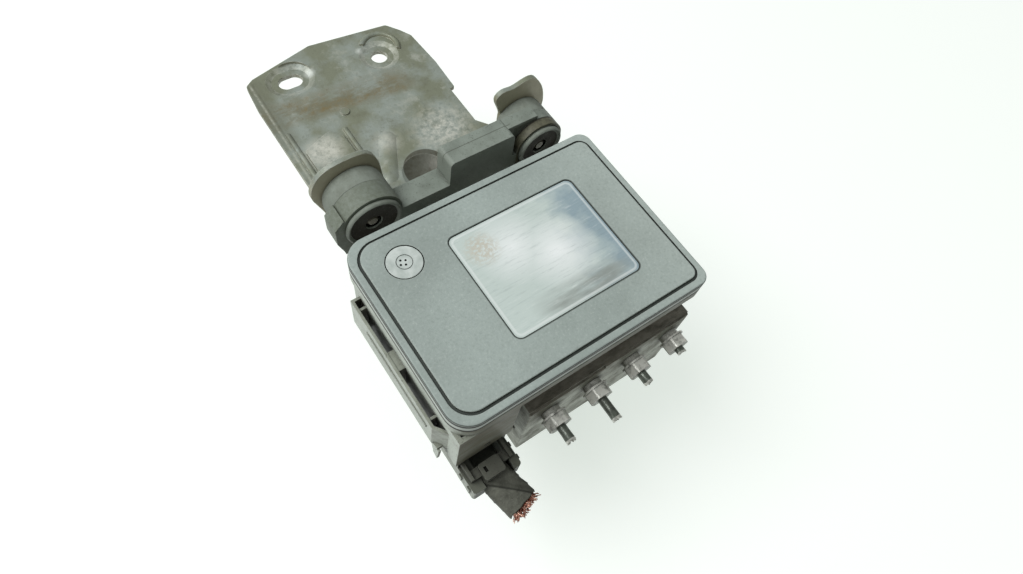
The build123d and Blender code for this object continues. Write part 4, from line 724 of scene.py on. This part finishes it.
# %% [markdown]
# ## The bracket's rims and folds
# Edges are rubbed bright. The dished rims of both bolt holes get a painted
# highlight. The hem along the left edge shows as a painted highlight line and a
# painted shade line. The hollows on the module's side are darkened as painted
# shade, and two points by the holes get a painted glint.

# %% Rub the edges and paint the highlights and the shade
plate.coat(rgb(216, 218, 208), plate.edges(), plate.window(small, 0.34, 0.62, 0.9, 0.1))
# Painted highlight on the sloping faces of the dished rims by both holes.
rim_highlights = plate.either(plate.near((4.5, 175.8, 112), 9.5, 4), plate.near((-47, 181.7, 112), 9.5, 5))
dished = plate.window(plate.axis("Z", "normal"), 0.995, 0.93)
plate.coat(rgb(204, 206, 196), rim_highlights, dished, plate.window(small, 0.62, 0.42, 0.1, 0.85))
left_edge = plate.window(plate.axis("X"), -58 * MM, -64 * MM)
plate.coat(rgb(108, 111, 93), left_edge, plate.band("Y", 140, 190, 4), 0.6)
folded = plate.band("Y", 112, 188, 2)
# Painted highlight and painted shade along the hem's fold.
hem_highlight = plate.both(plate.stripe((-67.4, 188), (-68.2, 115), 0.5), folded)
hem_shade = plate.both(plate.stripe((-65.9, 188), (-66.7, 115), 0.4), folded)
plate.coat(rgb(190, 192, 178), hem_highlight, plate.window(small, 0.60, 0.40, 0.1, 0.6))
plate.coat(rgb(84, 84, 68), hem_shade, plate.window(small, 0.35, 0.60, 0.1, 0.55))
near_module = plate.window(plate.axis("Y"), 165 * MM, 155 * MM)
# Painted shade: hollows within 5 mm on the module's side are darkened, less on the ears.
shade_in_hollows = plate.both(plate.corners(5, 0.50, 0.10), plate.window(ears, 0, 1, 1, 0.2))
plate.coat(rgb(80, 79, 64), shade_in_hollows, near_module)
# Painted highlight: two bright points by the holes.
glint = plate.either(
    plate.near((-4.0, 183.6, 114.5), 1.4, 1.6), plate.near((-35.6, 182, 113), 2, 2))
plate.coat(rgb(232, 238, 232), glint, 0.8)
relief = plate.relief(small, 0.12, plate.relief(middle_size, 0.35))
dress(plate.done(plate.window(small, 0.3, 0.7, 0.34, 0.60), relief), "bracket")

# %% [markdown]
# ## Skins from rings
# Pipes, tape and wires are all tubes that change along their length. The
# simplest way to model them is ring by ring: a list of rings of points, joined
# by quads, and a point-by-point say over every ring.

# %% Define the skin helper


def skin(name, rings, material, body, closed_ends=(False, False), smooth=True):
    """Join rings of equal length into a tube; a closed end gets a fan."""
    shape = bmesh.new()
    rows = [[shape.verts.new(point) for point in ring] for ring in rings]
    count = len(rings[0])
    for near_row, far_row in zip(rows, rows[1:]):
        for here in range(count):
            there = (here + 1) % count
            shape.faces.new((near_row[here], near_row[there], far_row[there], far_row[here]))
    for row, wanted in zip((rows[0], rows[-1]), closed_ends):
        if wanted:
            hub = shape.verts.new(sum((v.co for v in row), Vector()) / count)
            for here in range(count):
                shape.faces.new((row[here], row[(here + 1) % count], hub))
    bmesh.ops.recalc_face_normals(shape, faces=shape.faces)
    mesh = bpy.data.meshes.new(name)
    shape.to_mesh(mesh)
    shape.free()
    if smooth:
        mesh.shade_smooth()
    piece = bpy.data.objects.new(name, mesh)
    scene.collection.objects.link(piece)
    mesh.materials.append(material)
    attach(piece, body)
    return piece


def circle(steps):
    """Evenly spaced angles once round."""
    return [2 * math.pi * step / steps for step in range(steps)]


# %% [markdown]
# ## Rubber mounts
# Each mount is one turned body: a lip that stands out of the ring in front, a
# neck inside it, and behind it a buffer as wide as the ring, pressed against
# the bracket's ear. A turned form is the same ring of points again and again,
# at the radii and depths of its profile, so the skin helper makes it.

# %% Turn the rubber mounts
ring_face = 68.8
ring_end = 79.35
ear_face = 89.75
stud_hole = 4.05
neck = 10.3
well = 12.6
lump_height = 0.12
mount_ring_points = 72


def mount_profile(ring_radius):
    """Radius and depth, in mm, from the stud hole in front round to the ear."""
    lip = ring_radius - 1.4
    buffer = ring_radius - 0.05
    return [
        (stud_hole, ring_face - 0.6), (4.4, ring_face - 1.3), (lip - 2.4, ring_face - 1.4),
        (lip - 2.0, ring_face - 1.6), (lip - 1.5, ring_face - 2.3), (lip - 0.9, ring_face - 2.6),
        (lip - 0.3, ring_face - 2.2), (lip, ring_face - 1.4), (lip - 0.1, ring_face - 0.5),
        (lip - 0.5, ring_face - 0.06), (well - 0.3, ring_face - 0.05), (well, ring_face + 0.5),
        (well, ring_face + 3.4), (neck, ring_face + 3.5), (neck, ring_end - 0.1),
        (ring_radius - 0.4, ring_end), (ring_radius - 0.1, ring_end + 0.2),
        (buffer, ring_end + 2.0), (buffer, (ring_end + ear_face) / 2),
        (ring_radius - 0.2, ear_face - 1.6), (ring_radius - 0.7, ear_face - 0.4),
        (ring_radius - 1.4, ear_face), (stud_hole, ear_face),
    ]


for side_name, ring_radius in (("left", 15.8), ("right", 14.2)):
    node = f"grommet_{side_name}"
    low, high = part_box(node)
    x_mid = (low.x + high.x) / 2
    z_mid = (low.z + high.z) / 2
    rings = []
    for radius, depth in mount_profile(ring_radius):
        ring = []
        for angle in circle(mount_ring_points):
            c, s = math.cos(angle), math.sin(angle)
            lump = noise.noise(Vector((c * 2, s * 2, depth * 0.2))) * lump_height
            reach = (radius + (lump if radius > 6 else 0.0)) * MM
            ring.append(Vector((x_mid + c * reach, depth * MM, z_mid + s * reach)))
        rings.append(ring)
    mount = skin(f"rubber_mount_{side_name}", rings, mount_rubber, "module")
    mount.data.set_sharp_from_angle(angle=math.radians(50))
    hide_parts(node)
    print(mount.name, len(rings), "rings")

# %% [markdown]
# ## Torn pipe ends
# The brake pipes were cut through with a tool that squashed them a little, so
# each stub ends in a slightly flattened, ragged mouth of bare metal. The tube
# is lofted straight out of its nut, down its outside and back up its bore; only
# the last rings go oval, and only the very last one is jagged. The second pipe
# was nipped across its middle, which left it two small mouths side by side.

# %% Model the pipe stubs
pipe_coat = metal("pipe_steel", rgb(112, 120, 110), rgb(58, 62, 54), 0.9,
                  rough=(0.22, 0.45), metallic=0.3)
torn_metal = metal("torn_steel", rgb(222, 224, 216), rgb(120, 118, 104), 0.5,
                   rough=(0.2, 0.4), metallic=0.5)

pipe_radius = 2.375 * MM
pipe_wall = 0.75 * MM
pipe_squash = [0.80, 0.88, 0.78, 0.62]
pipe_turn = [20, 12, 55, -10]
pipe_nip = [0.0, 0.75, 0.0, 0.35]
crush = 5 * MM
jag_height = 1.1 * MM
jag_depth = 2 * MM
pipe_steps = 26
around = 36


def pipe_ring(index, centre, low_y, y, bore):
    """One ring of a pipe: round at first, flatter and torn near its mouth."""
    turn = math.radians(pipe_turn[index])
    pinch = max(0.0, 1 - (y - low_y) / crush) ** 1.5
    flat = 1 - (1 - pipe_squash[index]) * pinch
    wide = 1 + (1 - pipe_squash[index]) * 0.4 * pinch
    radius = pipe_radius - bore
    ring = []
    for angle in circle(around):
        c, s = math.cos(angle), math.sin(angle)
        nip = 1 - pipe_nip[index] * pinch * (1 - abs(c)) ** 2
        off_x = c * radius * wide
        off_z = s * max(radius * flat * nip, 0.15 * MM)
        jag = noise.noise(Vector((c * 2.4, s * 2.4, index * 3.7)))
        torn = jag * jag_height * max(0.0, 1 - (y - low_y) / jag_depth)
        ring.append(Vector((
            centre.x + off_x * math.cos(turn) - off_z * math.sin(turn),
            y + torn,
            centre.z + off_x * math.sin(turn) + off_z * math.cos(turn),
        )))
    return ring


for index in range(4):
    name = f"pipe_stub_{index + 1}"
    low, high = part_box(name)
    centre = (low + high) / 2
    outward = [high.y + (low.y - high.y) * step / pipe_steps for step in range(pipe_steps + 1)]
    rings = [pipe_ring(index, centre, low.y, y, 0.0) for y in outward]
    rings += [pipe_ring(index, centre, low.y, y, pipe_wall) for y in reversed(outward)]
    piece = skin(f"torn_pipe_{index + 1}", rings, pipe_coat, "module")
    piece.data.materials.append(torn_metal)
    for face in piece.data.polygons:
        inside = face.index // around > pipe_steps
        bright_depth = (4 if inside else 0.9) * MM
        if face.center.y < low.y + bright_depth:
            face.material_index = 1
    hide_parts(name)
print("pipes", round(2 * pipe_radius / MM, 2), "mm across")

# %% [markdown]
# ## The bundle's tape
# The harness is wrapped in dark cloth tape, greyed by dust. Its weave is too
# fine to model, so it is the smallest noise, in colour and bump. One deep fold
# crosses the bundle: a dark line with shade on its inner side, laid by the
# distance from a line, which the mesh below follows with a ridge.

# %% Finish the tape
fold_start = (-74.4, -56.2)
fold_end = (-57.3, -71.0)
tape = Finish("tape", specular=0.3)
weave = tape.cloud(0.7, detail=2.0)
grime = tape.cloud(5, detail=5.0, rough=0.7)
tape.colour = tape.lay(rgb(74, 75, 67), rgb(104, 106, 96), tape.window(grime, 0.35, 0.65))
tape.coat(rgb(140, 142, 130), tape.window(weave, 0.6, 0.8, 0, 0.5))
from_fold = tape.beside(fold_start, fold_end)
fading = tape.window(from_fold, 5 * MM, 0.0)
tape.coat(rgb(48, 49, 42), fading, tape.window(from_fold, -0.6 * MM, 0.0, 0, 0.6))
tape.coat(rgb(34, 35, 29), tape.stripe(fold_start, fold_end, 0.35), 0.8)
tape_cloth = tape.done(tape.window(grime, 0.3, 0.7, 0.55, 0.8), tape.relief(weave, 0.12))
print("fold", round(math.dist(fold_start, fold_end), 1), "mm long, seen from above")

# %% [markdown]
# ## The taped bundle
# The harness leaves the plug as one flat bundle and is cut off short. It is
# lofted from the plug's mouth to the cut, with a step where each turn of tape
# laps the last, a few wrinkles, the ridge of the fold, and a frayed lip at the
# cut. Two smaller rings behind the cut make the hollow the wires sit in. Its
# section is a squashed circle: cosine and sine raised to a power below one.

# %% Model the bundle
low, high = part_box("harness_stub")
print("harness stub box", low, high)
mouth = mm(-70.0, -49.2, 95.5)
cut = mm(-64.5, -70.5, 91.8)
direction = (cut - mouth).normalized()
side = direction.cross(Vector((0, 0, 1))).normalized()
rise = side.cross(direction).normalized()
fold_from = Vector(fold_start) * MM
fold_run = (Vector(fold_end) * MM - fold_from).normalized()
fold_across = Vector((-fold_run.y, fold_run.x))
lap = 5.2 * MM
lap_slant = 0.30
lap_height = 0.30 * MM
wrinkle_height = 0.30 * MM
ridge_height = 0.7 * MM
ridge_place = 0.9
fray_length = 1.0 * MM
fray_start = 0.8
flatness = 0.72, 0.80
bundle_steps = 46
bundle_ring_points = 72
length = (cut - mouth).length


def bundle_point(t, angle):
    """A point of the tape, t of the way along and some angle round."""
    along = length * t
    half_wide = (7.7 + 0.5 * t) * MM
    half_high = 5.3 * MM
    c, s = math.cos(angle), math.sin(angle)
    flat_c = math.copysign(abs(c) ** flatness[0], c)
    flat_s = math.copysign(abs(s) ** flatness[1], s)
    turn_place = (along + flat_c * half_wide * lap_slant) / lap
    step_up = (turn_place % 1.0) ** 6 * lap_height * min(1, (1 - t) * 6)
    wrinkle = noise.noise(Vector((c * 2, s * 2, along / MM * 0.25))) * wrinkle_height
    grow = step_up + wrinkle
    fray = 0.0
    if t > fray_start:
        fray = noise.noise(Vector((c * 3, s * 3, 4.3))) * fray_length
        fray *= (t - fray_start) / (1 - fray_start)
    point = mouth + direction * (along + fray)
    point += side * flat_c * (half_wide + grow) + rise * flat_s * (half_high + grow)
    if s > 0:
        off = (Vector((point.x, point.y)) - fold_from).dot(fold_across) / MM
        point += rise * ridge_height * math.exp(-((off - ridge_place) / 0.9) ** 2) * s
    return point


bundle_rings = [
    [bundle_point(step / bundle_steps, angle) for angle in circle(bundle_ring_points)]
    for step in range(bundle_steps + 1)
]
for behind, shrink in ((1.5, 0.86), (5.0, 0.80)):
    bundle_rings.append([
        cut - direction * behind * MM + (point - cut) * shrink
        for point in bundle_rings[bundle_steps]
    ])
bundle = skin("taped_bundle", bundle_rings, tape_cloth, "plug", (True, True))
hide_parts("harness_stub")
print("bundle", round(length / MM, 1), "mm long")

# %% [markdown]
# ## Cut wires
# Inside the tape are about two dozen thin wires in three rows. Each is a short
# sleeve of plastic with a spray of copper strands, bent where the cutter pushed
# them. The strands are placed by a spiral, which fills a circle evenly, and
# their bends are drawn at random from a fixed seed, so every run is the same.

# %% Define the wires
wire_plastic = moulding(
    "wire", dark=rgb(58, 52, 44), light=rgb(84, 76, 66), dust=rgb(104, 96, 84),
    grime=rgb(34, 30, 26), dust_amount=0.3, edge=rgb(118, 110, 98), edge_amount=0.4)
fresh_copper = metal("fresh_copper", rgb(240, 196, 172), rgb(158, 78, 54), 0.95,
                     rough=(0.2, 0.4), metallic=0.4, patches=1.6)
wire_rows = [(-1, 7), (0, 8), (1, 7)]
wire_pitch = 1.78 * MM
row_gap = 2.7 * MM
wire_jitter = 0.3
sleeve_radius = 0.86 * MM
strand_radius = 0.24 * MM
strand_count = 15
strand_rings = 5
spiral_turn = 2.4
spiral_reach = 0.70 * MM


def add_tube(shape, points, radius, sides):
    """A thin tube through a few points, with closed ends."""
    rows = []
    for here, point in enumerate(points):
        ahead = points[min(here + 1, len(points) - 1)] - points[max(here - 1, 0)]
        across_way = ahead.orthogonal().normalized()
        up_way = ahead.cross(across_way).normalized()
        rows.append([
            shape.verts.new(point + (across_way * math.cos(a) + up_way * math.sin(a)) * radius)
            for a in circle(sides)
        ])
    for near_row, far_row in zip(rows, rows[1:]):
        for here in range(sides):
            there = (here + 1) % sides
            shape.faces.new((near_row[here], near_row[there], far_row[there], far_row[here]))
    shape.faces.new(rows[0])
    shape.faces.new(list(reversed(rows[-1])))


def add_strand(shape, tip, heading_way, strand):
    """One copper strand out of a sleeve's tip, bending as it goes."""
    turn = spiral_turn * strand
    spread = math.sqrt(strand / 12) * spiral_reach
    start = tip - heading_way * 0.6 * MM + (side * math.cos(turn) + rise * math.sin(turn)) * spread
    reach = random.uniform(1.2, 4.4) * MM
    bend = side * random.uniform(-0.8, 0.8) + rise * random.uniform(-0.9, 0.6)
    points = []
    for part in range(strand_rings):
        f = part / (strand_rings - 1)
        points.append(start + (heading_way * f + bend * f * f) * reach)
    add_tube(shape, points, strand_radius, 5)


print(sum(count for _, count in wire_rows), "wires of", strand_count, "strands")

# %% [markdown]
# ## Set out the wires
# Every wire is put down in its row, a little off its place and a little
# tilted, and then gets its strands. All the sleeves are gathered in one mesh
# and all the strands in another: hundreds of small objects would be slower to
# draw and harder to pick.

# %% Model the wires
random.seed(7)
sleeves = bmesh.new()
strands = bmesh.new()
for row, count in wire_rows:
    for place in range(count):
        off_side = (place - (count - 1) / 2) * wire_pitch
        off_side += random.uniform(-wire_jitter, wire_jitter) * MM
        off_rise = row * row_gap + random.uniform(-wire_jitter, wire_jitter) * MM
        root = cut - direction * 5.2 * MM + side * off_side + rise * off_rise
        out = random.uniform(4.2, 6.4) * MM
        tilt = side * random.uniform(-0.15, 0.15) + rise * random.uniform(-0.15, 0.15)
        heading_way = (direction + tilt).normalized()
        tip = root + heading_way * out
        add_tube(sleeves, [root, (root + tip) / 2, tip], sleeve_radius, 12)
        for strand in range(strand_count):
            add_strand(strands, tip, heading_way, strand)

for name, shape, material, slot_name in (
        ("wire_sleeves", sleeves, wire_plastic, "wire"),
        ("copper_strands", strands, fresh_copper, "copper")):
    mesh = bpy.data.meshes.new(name)
    shape.to_mesh(mesh)
    shape.free()
    mesh.shade_smooth()
    piece = bpy.data.objects.new(name, mesh)
    scene.collection.objects.link(piece)
    mesh.materials.append(material)
    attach(piece, "plug")
    if name == "copper_strands":
        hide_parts("wire_ends")
    print(name, len(mesh.polygons), "faces")
